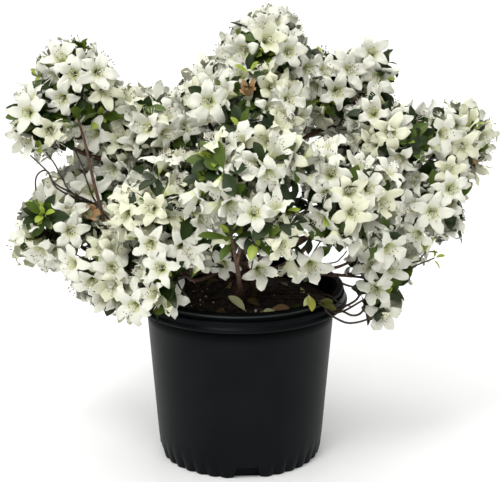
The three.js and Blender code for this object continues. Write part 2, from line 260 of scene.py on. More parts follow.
# Evergreen azalea leaves are leathery, with a waxy skin that throws a soft gloss.
waxySkin = {"Specular IOR Level": 0.3}
leafDark = principled("leaf skin dark", "#20300b", 0.42, **waxySkin)
leafMid = principled("leaf skin green", "#475b19", 0.45, **waxySkin)
leafLime = principled("young leaf lime", "#93a53a", 0.45)
# Fallen leaves and petals dry out and lose their gloss.
leafFallen = principled("fallen leaf brown", "#5c4a22", 0.6)
leafOlive = principled("fallen leaf olive", "#5b5a20", 0.6)
# Painted light: the pale lime fallen petal and the yellow fallen leaf keep their real tints, but are made brighter
# to stand in for the front light they catch on the rim and the mix.
fallenPetalPaintedLight = principled("fallen petal lime with painted light", "#e6ebb0", 0.6)
fallenLeafYellowPaintedLight = principled("fallen leaf yellow with painted light", "#c3c653", 0.5)
# Flower stalks are soft green wood, dull with down.
twigGreen = principled("green wood", "#6c7f3a", 0.6)
# Thin reddish-brown bark with grey patches, rough at about a millimetre.
barkWood = mottled("azalea bark", ("#38271e", "#604334"), 6, 0.85, 1.6, 0.5)
twigWood = mottled("twig bark", ("#241a15", "#3d2c23"), 5, 0.8, 1.2, 0.3)
# Composted bark and peat: very dark, crumbly and dull, with no gloss.
mixCrumb = mottled("bark and peat mix", ("#120d0a", "#2b2019"), 7, 0.95, 2.2, 2.0)
chipWood = mottled("bark chip", ("#251b14", "#4c3a2a"), 9, 0.9, 1.5, 0.5)
# Perlite is expanded volcanic glass, white and chalky.
perliteWhite = mottled("perlite", ("#d8d5cc", "#f0eee8"), 2, 0.9, 0.8, 0.2)
# Injection-moulded black polypropylene: blue-black, satin, with a faint orange-peel skin and a film of dust; on the
# rim's top the dust also carries painted highlight, and under the lip the wall has painted shade.
potPlastic = mottled(
    "moulded polypropylene", ("#090c0e", "#0d1113"), 60, 0.42, 0.9, 0.05, **{"Specular IOR Level": 0.07}
)
# A painted studio floor, nearly white.
floorPaint = mottled("studio floor paint", ("#f6f6f5", "#f8f8f7"), 400, 0.7, 30, 0.1)

rimDustLightAndShade = {
    # A pale grey on the rim's upward faces: dust, and painted highlight for the light that the top catches
    "dustAndHighlight": "#4a4e51",
    "levelFrom": 0.35,  # the upward part of a face's normal, from where the pale coat of dust and painted highlight starts to where it covers
    "levelTo": 0.8,
    "dustAndHighlightInside": 8,  # how far inside the rim's radius the dust and painted highlight start, and how far below its top
    "dustAndHighlightBelow": 5,
    # Painted shade: near black on the wall under the lip, where the lip's shadow falls
    "paintedShade": "#020203",
    "paintedShadeFoot": 184,
    "paintedShadeTop": 200,
    "paintedShadeBeyond": 3,  # how far past the wall's radius under the lip the painted shade still lies
}


# Dust lies on the pot's rim where it faces up, and its pale coat there is also painted highlight, for the light
# that the rim's top catches from above. Under the lip the wall gets painted shade: a near-black, dull band where
# the lip's shadow falls.
def paintRimDustLightAndShade(material):
    tree = material.node_tree
    shader = tree.nodes["Principled BSDF"]
    normal = addNode(tree, "ShaderNodeNewGeometry").outputs["Normal"]
    upward = addNode(tree, "ShaderNodeSeparateXYZ", links={"Vector": normal}).outputs["Z"]
    place = addNode(tree, "ShaderNodeTexCoord").outputs["Object"]
    apart = addNode(tree, "ShaderNodeSeparateXYZ", links={"Vector": place}).outputs
    flat = addNode(tree, "ShaderNodeCombineXYZ", {"Z": 0.0}, {"X": apart["X"], "Y": apart["Y"]})
    reach = addNode(tree, "ShaderNodeVectorMath", {"operation": "LENGTH"}, {0: flat.outputs[0]}).outputs["Value"]
    level = {"From Min": rimDustLightAndShade["levelFrom"], "From Max": rimDustLightAndShade["levelTo"]}
    dustAndHighlightCover = addNode(tree, "ShaderNodeMapRange", level, {"Value": upward}).outputs[0]
    inward, upper = pot["rimRadius"] - rimDustLightAndShade["dustAndHighlightInside"], pot["height"] - rimDustLightAndShade["dustAndHighlightBelow"]
    for size, start in ((reach, inward), (apart["Z"], upper)):
        dustAndHighlightCover = reckon(tree, "MULTIPLY", dustAndHighlightCover, reckon(tree, "GREATER_THAN", size, start * mm))
    # Painted highlight with dust: the rim's upward faces turn pale grey
    dustedAndHighlighted = addNode(tree, "ShaderNodeMix", {"data_type": "RGBA", 7: tone(rimDustLightAndShade["dustAndHighlight"])}, {
        "Factor": dustAndHighlightCover, 6: shader.inputs["Base Color"].links[0].from_socket,
    })
    # Painted shade: a near-black band on the wall just under the lip, where the lip shades it, with the roughness
    # raised with it
    inside = reckon(tree, "LESS_THAN", reach, (pot["underLipRadius"] + rimDustLightAndShade["paintedShadeBeyond"]) * mm)
    heights = {"From Min": rimDustLightAndShade["paintedShadeFoot"] * mm, "From Max": rimDustLightAndShade["paintedShadeTop"] * mm}
    paintedShadeBand = addNode(tree, "ShaderNodeMapRange", heights, {"Value": apart["Z"]}).outputs["Result"]
    share = reckon(tree, "MULTIPLY", paintedShadeBand, inside)
    shade = addNode(tree, "ShaderNodeMix", {"data_type": "RGBA", 7: tone(rimDustLightAndShade["paintedShade"])}, {
        "Factor": share, 6: dustedAndHighlighted.outputs[2],
    })
    tree.links.new(shade.outputs[2], shader.inputs["Base Color"])
    roughness = {"To Min": shader.inputs["Roughness"].default_value, "To Max": 1.0}
    dull = addNode(tree, "ShaderNodeMapRange", roughness, {"Value": share})
    tree.links.new(dull.outputs["Result"], shader.inputs["Roughness"])


# Camera, light and floor

studio = {
    "cameraPlace": (12.5, -2200, 938.8),
    "pitch": 16.59,
    "lens": 129.8,
    "sensor": 36,
    "farthest": 100,  # in metres
    "floorHalf": 9000,
    "worldStrength": 0.2,
    "overhead": 2.7,
    "overheadSpread": 100,
}


def setStudio():
    camera = bpy.data.cameras.new("camera")
    camera.lens = studio["lens"]
    camera.sensor_width = studio["sensor"]
    camera.clip_end = studio["farthest"]
    holder = newObject("camera", camera)
    holder.location = Vector(studio["cameraPlace"]) * mm
    holder.rotation_euler = (math.radians(90 - studio["pitch"]), 0, 0)
    bpy.context.scene.camera = holder
    bpy.context.scene.view_settings.view_transform = "Standard"

    # name, place, what it faces, width and height, watts
    lamps = [
        ("key", (-900, -2100, 3200), (0, 0, 350), (1000, 1000), 54),
        ("front fill", (-250, -2600, 1500), (0, 0, 260), (900, 600), 9),
        ("right fill", (2500, -900, 1500), (0, 0, 300), (1400, 1600), 5),
        ("left fill", (-2600, -700, 1500), (0, 0, 200), (1400, 1600), 12),
        ("back", (300, 2600, 2600), (0, 0, 350), (1800, 1200), 14),
    ]
    for name, place, target, size, watts in lamps:
        light = bpy.data.lights.new(name, "AREA")
        light.shape = "RECTANGLE"
        light.size, light.size_y = size[0] * mm, size[1] * mm
        light.energy = watts
        lamp = newObject(name, light)
        lamp.location = Vector(place) * mm
        lamp.rotation_euler = (Vector(target) - Vector(place)).to_track_quat("-Z", "Y").to_euler()

    ceiling = bpy.data.lights.new("overhead", "SUN")
    ceiling.energy, ceiling.angle = studio["overhead"], math.radians(studio["overheadSpread"])
    newObject("overhead", ceiling)

    world = bpy.data.worlds.new("studio")
    world.use_nodes = True
    sky = world.node_tree.nodes["Background"].inputs
    sky["Color"].default_value = (1, 1, 1, 1)
    sky["Strength"].default_value = studio["worldStrength"]
    bpy.context.scene.world = world

    half = studio["floorHalf"]
    corners = [(-half, -half, 0), (half, -half, 0), (half, half, 0), (-half, half, 0)]
    floor = newObject("floor", meshFrom("floor", corners, [[0, 1, 2, 3]], smooth=False))
    floor.data.materials.append(floorPaint)


# The pot: a tapered wall under a wide lip, with a fluted foot and drain notches

pot = {
    "height": 228,
    "rimRadius": 137.5,
    "lipHeight": 22,
    "underLipRadius": 121,
    "footRadius": 106,
    "wall": 2,
    "floor": 3,
    "flutes": 36,
    "fluteDepth": 3.8,
    "fluteTop": 24,
    "footTuck": 2.2,
    "notches": 4,
    "notchTopWidth": 28,
    "notchFootWidth": 35,
    "notchHeight": 16,
    "notchDepth": 14,
    "notchHeading": -85,
    "segments": 360,
    "plainRadius": 90,  # inside it nothing is fluted and the line stays as it is
    "finest": 9,  # the longest piece of its line outside that
    "cornerAngle": 38,  # sharper bends than this are shaded as edges
}


# Rounds the corners of a line of (r, z) points, each by its own radius.
def rounded(corners, steps=4):
    line = []
    for i, (r, z, radius) in enumerate(corners):
        here = Vector((r, z))
        if radius == 0 or i in (0, len(corners) - 1):
            line.append(here)
            continue
        before, after = Vector(corners[i - 1][:2]) - here, Vector(corners[i + 1][:2]) - here
        reach = min(radius, before.length * 0.45, after.length * 0.45)
        a, b = here + before.normalized() * reach, here + after.normalized() * reach
        line.extend(bentPoint(a, here, b, t) for t in np.linspace(0, 1, steps + 1))
    return line


def wallRadius(z):
    share = z / (pot["height"] - pot["lipHeight"])
    return pot["footRadius"] + (pot["underLipRadius"] - pot["footRadius"]) * share


# Turns a line of (r, z) points round the axis into a closed mesh.
def turned(name, line, segments, shaper):
    points, faces = [], []
    inner = [p for p in line if p.x > 0.01]
    for k in range(segments):
        angle = 2 * math.pi * k / segments
        for p in inner:
            r, z = shaper(p.x, p.y, angle)
            points.append((r * math.cos(angle), r * math.sin(angle), z))
    rows = len(inner)
    for k in range(segments):
        a, b = k * rows, (k + 1) % segments * rows
        faces.extend([a + i, b + i, b + i + 1, a + i + 1] for i in range(rows - 1))
    for p, i in ((line[0], 0), (line[-1], rows - 1)):
        points.append((0, 0, p.y))
        middle = len(points) - 1
        for k in range(segments):
            a, b = k * rows + i, (k + 1) % segments * rows + i
            faces.append([middle, b, a] if i == 0 else [middle, a, b])
    return meshFrom(name, points, faces)


def cutNotches(piece):
    corners = []
    for depth in (pot["footRadius"] - pot["notchDepth"], pot["footRadius"] + pot["notchDepth"]):
        low, high = pot["notchFootWidth"] / 2, pot["notchTopWidth"] / 2
        corners += [(depth, -low, -2), (depth, low, -2)]
        corners += [(depth, high, pot["notchHeight"]), (depth, -high, pot["notchHeight"])]
    sides = [[0, 3, 2, 1], [4, 5, 6, 7], [0, 1, 5, 4], [1, 2, 6, 5], [2, 3, 7, 6], [3, 0, 4, 7]]
    heap = Heap()
    for n in range(pot["notches"]):
        turn = Matrix.Rotation(math.radians(pot["notchHeading"] + 360 * n / pot["notches"]), 3, "Z")
        heap.pour([turn @ Vector(c) for c in corners], sides)
    cutter = newObject("notches", meshFrom("notches", heap.points, heap.faces, smooth=False))
    modifier = piece.modifiers.new("notches", "BOOLEAN")
    modifier.object, modifier.solver, modifier.operation = cutter, "EXACT", "DIFFERENCE"
    settle(piece, modifier)
    bpy.data.objects.remove(cutter)


def makePot():
    # Paints a highlight with the dust on the rim's top, and shade under the lip
    paintRimDustLightAndShade(potPlastic)
    top, lipFoot, wall = pot["height"], pot["height"] - pot["lipHeight"], pot["wall"]
    under, rim, footRadius = pot["underLipRadius"], pot["rimRadius"], pot["footRadius"]
    outline = [
        (0, 1.2, 0), (78, 1.2, 2), (84, 0, 1), (footRadius - pot["footTuck"] - 1.5, 0, 2),
        (footRadius - 0.4, 12.5, 9), (wallRadius(lipFoot), lipFoot, 1.5), (under + 0.8, top - 11, 1.5),
        (under + 4.6, top - 12.6, 1), (under + 7, lipFoot + 6.3, 1), (under + 10.2, lipFoot + 6, 1),
        (rim - 4.9, lipFoot + 4.4, 2), (rim - 2.2, lipFoot + 1.2, 0.8),
        (rim - 0.6, lipFoot, 0.8), (rim, lipFoot + 2, 1), (rim - 0.7, lipFoot + 4.4, 1.5),
        (rim - 2.8, lipFoot + 6.8, 1.5), (rim - 3.2, lipFoot + 9.8, 1.5), (rim - 4.1, top - 8.9, 1),
        (rim - 5.4, top - 8.4, 0.5), (rim - 6.2, top - 9.6, 0.5), (rim - 10.6, top - 9.4, 0.8),
        (rim - 10.8, top - 4.8, 0.8), (rim - 5.6, top - 4.2, 0.5), (rim - 5.1, top - 3, 0.7),
        (rim - 6.6, top - 2.2, 1), (rim - 9.6, top - 1.8, 2), (under + 3.5, top - 0.2, 2),
        (under - 0.5, top, 1.2), (under - 2.2, top - 7, 3), (wallRadius(36) - wall, 36, 3),
        (footRadius - 17, 21, 1), (footRadius - 19, pot["floor"], 1), (0, pot["floor"], 0),
    ]
    line = rounded(outline)
    fine = [line[0]]
    for p in line[1:]:
        start = fine[-1]
        outside = max(p.x, start.x) > pot["plainRadius"]
        pieces = max(1, int((p - start).length / pot["finest"])) if outside else 1
        fine.extend(start.lerp(p, (i + 1) / pieces) for i in range(pieces))

    # The foot is scalloped: round ribs with a crease between them, deeper towards the ground.
    def shaper(r, z, angle):
        outside = r > max(footRadius - pot["footTuck"] - 4, wallRadius(z) - 8, pot["plainRadius"])
        if not outside or z >= pot["fluteTop"]:
            return r, z
        share = (1 - z / pot["fluteTop"]) ** 0.8
        crease = 1 - abs(math.cos(angle * pot["flutes"] / 2)) ** 0.8
        return r - pot["fluteDepth"] * share * crease, z

    piece = newObject("nursery_pot", turned("nursery_pot", fine, pot["segments"], shaper))
    cutNotches(piece)
    piece.data.materials.append(potPlastic)
    piece.data.set_sharp_from_angle(angle=math.radians(pot["cornerAngle"]))
    dress(piece, "pot", "pot")


# The potting mix: an uneven bed with bark chips, a few grains of perlite and fallen leaves on it

soil = {
    "top": 205,
    "edgeDrop": 4,
    "clear": 2.9,
    "footBack": 20.5,  # how far its foot stands back from the pot's, behind the notches
    "lumps": 2.3,
    "lumpSize": 17,
    "crumbs": 1.3,
    "crumbSize": 5,
    "rings": 74,
    "segments": 180,
}


soilEdge = wallRadius(soil["top"] - soil["edgeDrop"]) - soil["clear"]


def soilHeight(x, y):
    r = math.hypot(x, y)
    base = np.interp(r, [0, 26, 54, 82, soilEdge - 11, soilEdge], [0, 0, 0.3, -0.8, -2.3, -soil["edgeDrop"]])
    lumps = noise.fractal(Vector((x, y, 3.1)) / soil["lumpSize"], 0.9, 2.0, 3) * soil["lumps"]
    crumbs = noise.noise(Vector((x, y, 9.4)) / soil["crumbSize"]) * soil["crumbs"]
    calm = min(1, max(0, (soilEdge - r) / 6)) * min(1, max(0.15, (r - 14) / 14))
    return soil["top"] + base + (lumps + crumbs) * calm


def makeSoil():
    foot, bottom = pot["footRadius"] - soil["footBack"], pot["floor"] + 0.3
    line = [(0, bottom), (foot, bottom), (foot + 2, 22), (wallRadius(37) - soil["clear"], 38)]
    line += [(r, soil["top"]) for r in np.linspace(soilEdge, 1.5, soil["rings"])] + [(0, soil["top"])]

    def shaper(r, z, angle):
        return (r, z) if z < 100 else (r, soilHeight(r * math.cos(angle), r * math.sin(angle)))

    bed = turned("potting_bed", [Vector(p) for p in line], soil["segments"], shaper)
    piece = newObject("potting_bed", bed)
    piece.data.materials.append(mixCrumb)
    dress(piece, "potting_mix", "potting_mix")


# The plant's frame: heart, trunk, boughs and masses, by the same rule and sizes as the solids

plant = {
    "soilTop": 205,
    "trunkHeight": 50,
    "trunkLean": (-3, 3),
    "trunkFoot": 14,
    "trunkFork": 9,
    "leaderRadius": 4.6,
    "sideRadius": 3.2,
    "tipRadius": 1.9,
    "outwardShare": 0.82,
    "riseShare": 0.3,
    "entry": 0.55,
    "trussReach": 27,
    "coneAngle": 122,
    "firstFork": 0.28,
    "trunkLift": 0.3,  # its flat foot stands this far above the level of the mix
    "shallowest": 2,  # a bough's end stays this deep in its mass's own space
    "stemPast": 0.15,  # a stem ends this share of the radius past the middle of its mass
    "shortest": 4,
}

# name, parent, where it forks along it, heading, reach, height, radius, trusses, leafy shoots at the front
massTable = [
    ("high_left", "trunk", 0.8, 177, 199, 493, 59, 7, 2),
    ("front_left", "trunk", 0.62, -130, 148, 347, 67, 8, 0),
    ("crown_top", "trunk", 0.97, 16, 35, 524, 63, 7, 1),
    ("front_centre", "trunk", 0.86, -82, 144, 412, 76, 9, 0),
    ("front_right", "trunk", 0.6, -46, 172, 361, 70, 8, 1),
    ("right_shoulder", "trunk", 0.8, -9, 187, 432, 61, 7, 0),
    ("back_left", "trunk", 0.64, 138, 182, 394, 68, 8, 0),
    ("back_centre", "trunk", 0.88, 84, 162, 422, 71, 8, 0),
    ("back_right", "trunk", 0.62, 38, 206, 399, 68, 8, 0),
    ("left_belly", "high_left", 0.42, 177, 181, 325, 56, 7, 0),
    ("far_left", "high_left", 0.7, -178, 248, 441, 52, 6, 1),
    ("left_shoulder", "crown_top", 0.4, 167, 124, 423, 65, 8, 1),
    ("left_heart", "front_left", 0.5, -160, 88, 360, 56, 7, 0),
    ("upper_left", "crown_top", 0.62, 127, 72, 451, 63, 7, 0),
    ("upper_front", "crown_top", 0.5, -70, 58, 468, 60, 7, 0),
    ("top_right", "crown_top", 0.5, 20, 110, 478, 61, 7, 1),
    ("top_right_tip", "top_right", 0.62, 10, 172, 500, 44, 4, 1),
    ("low_left", "front_left", 0.34, -154, 175, 259, 62, 7, 0),
    ("low_left_tip", "low_left", 0.6, -166, 244, 312, 52, 6, 2),
    ("front_low_left", "front_left", 0.3, -118, 162, 275, 54, 6, 1),
    ("front_low_centre", "front_centre", 0.22, -82, 178, 338, 66, 7, 1),
    ("far_right", "right_shoulder", 0.68, 2, 277, 419, 56, 7, 0),
    ("right_belly", "right_shoulder", 0.42, -9, 249, 347, 61, 7, 1),
    ("low_right", "front_right", 0.3, -18, 181, 250, 61, 7, 0),
    ("back_low_left", "back_left", 0.36, 150, 206, 290, 61, 7, 0),
    ("back_low_centre", "back_centre", 0.3, 96, 202, 315, 66, 7, 0),
    ("back_low_right", "back_right", 0.36, 34, 218, 289, 63, 7, 0),
    ("back_top", "back_centre", 0.6, 82, 96, 497, 63, 7, 0),
]


# How far inside its own space a point lies: the space nearer to its mass than to any other, weighed by radii.
def ownSpace(point, mass, masses):
    own = (point - mass["middle"]).length_squared - mass["radius"] ** 2
    room = math.inf
    for other in masses:
        if other is not mass:
            theirs = (point - other["middle"]).length_squared - other["radius"] ** 2
            room = min(room, (theirs - own) / (2 * (other["middle"] - mass["middle"]).length))
    return room


def growFrame():
    foot = Vector((0, 0, plant["soilTop"] + plant["trunkLift"]))
    fork = Vector((*plant["trunkLean"], plant["soilTop"] + plant["trunkHeight"]))
    trunkCurve = bentCurve(foot, Vector((0, 0, plant["soilTop"] + plant["trunkHeight"] / 2)), fork)
    heart = Vector((0, 0, fork.z))
    masses = []
    for index, (name, parent, forkAt, heading, reach, height, radius, trusses, leafy) in enumerate(massTable):
        turn = math.radians(heading)
        middle = Vector((reach * math.cos(turn), reach * math.sin(turn), height))
        masses.append({
            "name": name, "parent": parent, "forkAt": forkAt, "index": index, "middle": middle,
            "radius": radius, "trusses": trusses, "leafy": leafy, "outward": (middle - heart).normalized(),
        })
    for mass in masses:
        depth, least = plant["entry"] * mass["radius"], plant["shallowest"]
        while depth > least and ownSpace(mass["middle"] - mass["outward"] * depth, mass, masses) <= least:
            depth -= 1
        parents = [m for m in masses if m["name"] == mass["parent"]]
        start = along(parents[0]["curve"] if parents else trunkCurve, mass["forkAt"])
        end = mass["middle"] - mass["outward"] * depth
        bend = Vector((
            start.x + (end.x - start.x) * plant["outwardShare"],
            start.y + (end.y - start.y) * plant["outwardShare"],
            start.z + (end.z - start.z) * plant["riseShare"],
        ))
        mass["curve"] = bentCurve(start, bend, end)
        mass["rootRadius"] = plant["sideRadius"] if parents else plant["leaderRadius"]
        top = mass["middle"] + mass["outward"] * (plant["stemPast"] * mass["radius"])
        tipWay = wayAlong(mass["curve"], 1)
        mass["stem"] = bentCurve(end, end + tipWay * ((top - end).length / 2), top)
    return trunkCurve, masses


# Trusses spiral round a mass from its outward side. The first spiral has the source's own count, and the finer
# ones between it carry the rule on to smaller twigs.
def trussesOf(mass, count, phase, share):
    made = []
    for index in range(count):
        spread = (index + 0.5) / count * (1 - math.cos(math.radians(plant["coneAngle"])))
        turn = index * goldenAngle + dealtTurn(mass["index"], 3) + phase
        way = tilted(mass["outward"], math.acos(1 - spread), turn)
        tip = mass["middle"] + way * max(mass["radius"] * share - plant["trussReach"], plant["shortest"])
        made.append({"mass": mass, "index": index, "tip": tip, "facing": way, "flowers": []})
    return made


# Flowers

flower = {
    "size": 0.87,  # of the shape below, which is 61 across
    "mouth": 21,  # how far the middle of its mouth lies from its foot
    "stalk": 7,
    "cupMiddle": 15,
    "cupRadius": 8,
    "perTruss": 4,
    "oneMoreAbove": 0.6,  # where its number from 0 to 1 lies above this, a truss has one more
    "leafyShare": 0.2,  # of the trusses between the main ones, these have only leaves
    "tilt": 54,
    "tilts": (0.5, 0.9),  # the least of a value that varies, and its span
    "rises": (-0.05, 0.25),
    "sizes": (0.9, 0.16),
    "clearance": 10,  # how far a mouth keeps from what hangs clear in front of the stem
    "overlap": 6,  # how far a mouth may lie outside the space of its mass
    "lowest": 214,
    "overPot": (250, 150),  # below this height, mouths stay this far from the axis
    "placedFit": 0.6,  # how much of a flower with a place of its own has to keep inside the outline
    "ivoryAbove": 0.72,
    "wiltedAbove": 0.984,
    "wiltedVariant": 8,
    "wiltedSize": 0.62,
    "variants": 12,
    "stamens": 6,
    "stamenLength": 28,
    "filament": 0.4,
    "anther": 0.95,
    "openings": [0.95, 1.04, 0.84, 1.1, 0.98, 0.76, 0.66, 1.0, 0.42, 0.88, 1.06, 0.92],
    "lobeRows": [0, 0.12, 0.26, 0.4, 0.55, 0.7, 0.83, 0.93, 1.0],
    "lobeHalves": [6.9, 6.9, 5.6, 3.2, 0.3],  # half its width at the rows that stand free
    "lobeLength": 30.5,
    "columns": 7,
    "tubeRows": [(1.5, 0), (2.6, 3.5), (4.2, 7)],
    "ruffle": 3.3,
    "crease": 1.6,
    "pleat": 1.6,
}


# The sheets of one flower, in a frame whose Z is the way it faces: throat, the petals' feet, and their lobes.
def flowerSheets(variant):
    pick = np.random.default_rng(100 + variant)
    opening = flower["openings"][variant]
    rows = flower["lobeRows"]
    columns = np.linspace(-1, 1, flower["columns"])
    corner = math.tan(math.pi / 5)
    throat, feet, lobes = Heap(), Heap(), Heap()
    broad = pick.uniform(0.82, 1.18)

    def spot(reach, height, across, spin):
        outward = Vector((math.cos(spin), math.sin(spin), 0))
        aside = Vector((-math.sin(spin), math.cos(spin), 0))
        return outward * reach + aside * across + up * height

    for lobe in range(5):
        spin = 2 * math.pi * lobe / 5
        drift, droop = pick.normal(0, 0.15), pick.normal(-0.5, 5.0)
        long, wide = pick.uniform(0.86, 1.08), broad * pick.uniform(0.88, 1.1)
        waves, curl, twist = pick.uniform(0, 6.28, 4), pick.uniform(-2.5, 4.6), pick.normal(0, 0.34)
        tubeRows = flower["tubeRows"]
        throat.pour([spot(r, z, r * corner * v, spin) for r, z in tubeRows for v in (-1, 0, 1)], quads(3, 3))

        tip = (flower["lobeLength"] * long * (0.35 + 0.65 * opening), 18 + 27 * (1 - opening))
        controls = [tubeRows[-1], (8.6, 21.5), (17 * (0.5 + 0.5 * opening), 27 + 11 * (1 - opening)), tip]
        grid = []
        for t in rows:
            weights = [(1 - t) ** 3, 3 * t * (1 - t) ** 2, 3 * t * t * (1 - t), t ** 3]
            r = sum(w * c[0] for w, c in zip(weights, controls))
            z = sum(w * c[1] for w, c in zip(weights, controls))
            free = max(0, (t - 0.2) / 0.8)
            half = r * corner if t < 0.45 else np.interp(t, rows[4:], flower["lobeHalves"]) * wide
            for v in columns:
                ruffle = flower["ruffle"] * free * v * v * math.sin(14 * t + waves[int(v > 0)])
                crease = flower["crease"] * max(0, 1 - 2.2 * abs(v)) * math.sin(math.pi * min(1, 1.15 * t))
                pleat = flower["pleat"] * free * math.cos(3 * math.pi * v) * math.sqrt(1 - t)
                lift = droop * free ** 2 + twist * v * half * free - curl * v * v * free
                lift = lift + ruffle - crease + pleat
                edge = 1 + (0.13 * math.sin(9 * t + waves[2 + int(v > 0)]) if t > 0.45 else 0)
                grid.append(spot(r, z + lift, v * half * edge, spin + drift * max(0, t - 0.4)))
        width = len(columns)
        for heap, first, last in ((feet, 0, 2), (lobes, 2, len(rows) - 1)):
            heap.pour(grid[first * width:(last + 1) * width], quads(last - first + 1, width))

    filaments, anthers = Heap(), Heap()
    offsets = [(1, 0, 0), (-1, 0, 0), (0, 1, 0), (0, -1, 0), (0, 0, 1.5), (0, 0, -1.5)]
    eight = [[0, 2, 4], [2, 1, 4], [1, 3, 4], [3, 0, 4], [2, 0, 5], [1, 2, 5], [3, 1, 5], [0, 3, 5]]
    for n in range(flower["stamens"] + 1):
        isStyle = n == flower["stamens"]
        spin = 2 * math.pi * n / flower["stamens"] + pick.uniform(-0.4, 0.4)
        lean = 2 if isStyle else pick.uniform(3, 9)
        length = flower["stamenLength"] * pick.uniform(0.8, 1.05) * (1.15 if isStyle else 1)
        path = [
            Vector((math.cos(spin) * lean * t * t + 1.5 * t * t, math.sin(spin) * lean * t * t, 4 + length * t))
            for t in (0, 0.35, 0.7, 1)
        ]
        tube(filaments, path, [flower["filament"]] * 3 + [flower["filament"] * 0.8], 3)
        size = flower["anther"] * (0.7 if isStyle else 1)
        anthers.pour([path[-1] + Vector(offset) * size for offset in offsets], eight)
    return {"throat": throat, "feet": feet, "lobes": lobes, "filaments": filaments, "anthers": anthers}


# Leaves

leaf = {
    "length": 31,
    "width": 14.5,
    "rows": [0, 0.1, 0.27, 0.46, 0.65, 0.83, 0.94, 1.0],
    "halves": [0.05, 0.1, 0.56, 0.9, 1.0, 0.74, 0.36, 0.03],
    "sizeSpread": 0.2,
    "variants": 6,
    "whorl": {"count": 5, "tilt": 76, "step": 2.0, "midAbove": 0.74},
    "shoot": {"count": 9, "tilt": 60, "step": 1.5, "midAbove": 0.5},
    "tiltSpan": 30,
    "opening": (0.45, 0.8),  # the share of its tilt that the first leaf of a shoot has, and what the last has more
    "turnSpan": 6.28,
    "sizes": (0.78, 0.4),
    "young": 3,  # of a shoot's leaves
    "youngSizes": (0.5, 0.08),
    "shuffle": 977,
    "gapMargin": 8,
    "clearAt": (0, 0.5, 1),  # where along a leaf the clearings and the flowers' cups are kept free
    "cupAt": (0.3, 0.5, 0.7, 0.9),
}

# The leaves along the stems inside the masses
inner = {"count": 28, "reach": 26, "along": (0.02, 0.96), "tilt": 55, "tiltSpan": 60, "sizes": (0.9, 0.3)}


# A blade along Z with its upper face towards Y: an ellipse with a short stalk, folded at its midrib and curled.
def leafBlade(variant):
    pick = np.random.default_rng(300 + variant)
    fold, curl, sway = pick.uniform(0.15, 0.42), pick.uniform(3, 9), pick.normal(0, 1.4)
    heap, points = Heap(), []
    for t, half in zip(leaf["rows"], leaf["halves"]):
        for v in (-1, -0.5, 0, 0.5, 1):
            across = v * half * leaf["width"] / 2
            height = abs(across) * fold - curl * t * t + 0.35 * math.sin(11 * t + 2 * v + variant) * abs(v)
            points.append(Vector((across + sway * t * t, height, t * leaf["length"])))
    heap.pour(points, quads(len(leaf["rows"]), 5, flipped=True))
    return heap


# Trees of nodes: the spray sets a shape at every place, turned and sized, and the scatter deals places over a
# surface itself. Both end in the same way, and both are baked to one plain mesh.

def openTree(name, sockets):
    tree = bpy.data.node_groups.new(name, "GeometryNodeTree")
    ids = {}
    for label, kind in sockets.items():
        socket = tree.interface.new_socket(label, in_out="INPUT", socket_type="NodeSocket" + kind)
        ids[label] = socket.identifier
    tree.interface.new_socket("Mesh", in_out="OUTPUT", socket_type="NodeSocketGeometry")
    return tree, addNode(tree, "NodeGroupInput").outputs, ids


# Sets one of the shapes at each point, makes them real and gives them their material.
def closeTree(tree, given, links):
    split = {"Separate Children": True, "Reset Children": True}
    shapes = addNode(tree, "GeometryNodeCollectionInfo", split, {"Collection": given["Shapes"]})
    links["Instance"] = shapes.outputs["Instances"]
    spread = addNode(tree, "GeometryNodeInstanceOnPoints", {"Pick Instance": True}, links)
    real = addNode(tree, "GeometryNodeRealizeInstances", links={"Geometry": spread.outputs["Instances"]})
    finish = addNode(tree, "GeometryNodeSetMaterial", links={
        "Geometry": real.outputs["Geometry"], "Material": given["Material"],
    })
    addNode(tree, "NodeGroupOutput", links={"Mesh": finish.outputs["Geometry"]})


# A random value between two others, each another node's output.
def randomBetween(tree, kind, given, low, high):
    luck = addNode(tree, "FunctionNodeRandomValue", {"data_type": kind}, {"Seed": given["Seed"]})
    first = {"FLOAT_VECTOR": 0, "FLOAT": 2}[kind]
    tree.links.new(low, luck.inputs[first])
    tree.links.new(high, luck.inputs[first + 1])
    return luck.outputs[first // 2]


def buildSprayTree():
    tree, given, ids = openTree("spray", {
        "Places": "Geometry", "Shapes": "Collection", "Size": "Float", "Size spread": "Float", "Seed": "Int",
        "Material": "Material",
    })
    turn, size, shape = (
        addNode(tree, "GeometryNodeInputNamedAttribute", {"data_type": kind, "Name": name}).outputs["Attribute"]
        for kind, name in (("QUATERNION", "turn"), ("FLOAT", "size"), ("INT", "shape"))
    )
    lowest = reckon(tree, "SUBTRACT", 1.0, given["Size spread"])
    highest = reckon(tree, "ADD", 1.0, given["Size spread"])
    own = reckon(tree, "MULTIPLY", randomBetween(tree, "FLOAT", given, lowest, highest), size)
    closeTree(tree, given, {
        "Points": given["Places"], "Instance Index": shape, "Rotation": turn,
        "Scale": reckon(tree, "MULTIPLY", own, given["Size"]),
    })
    return tree, ids


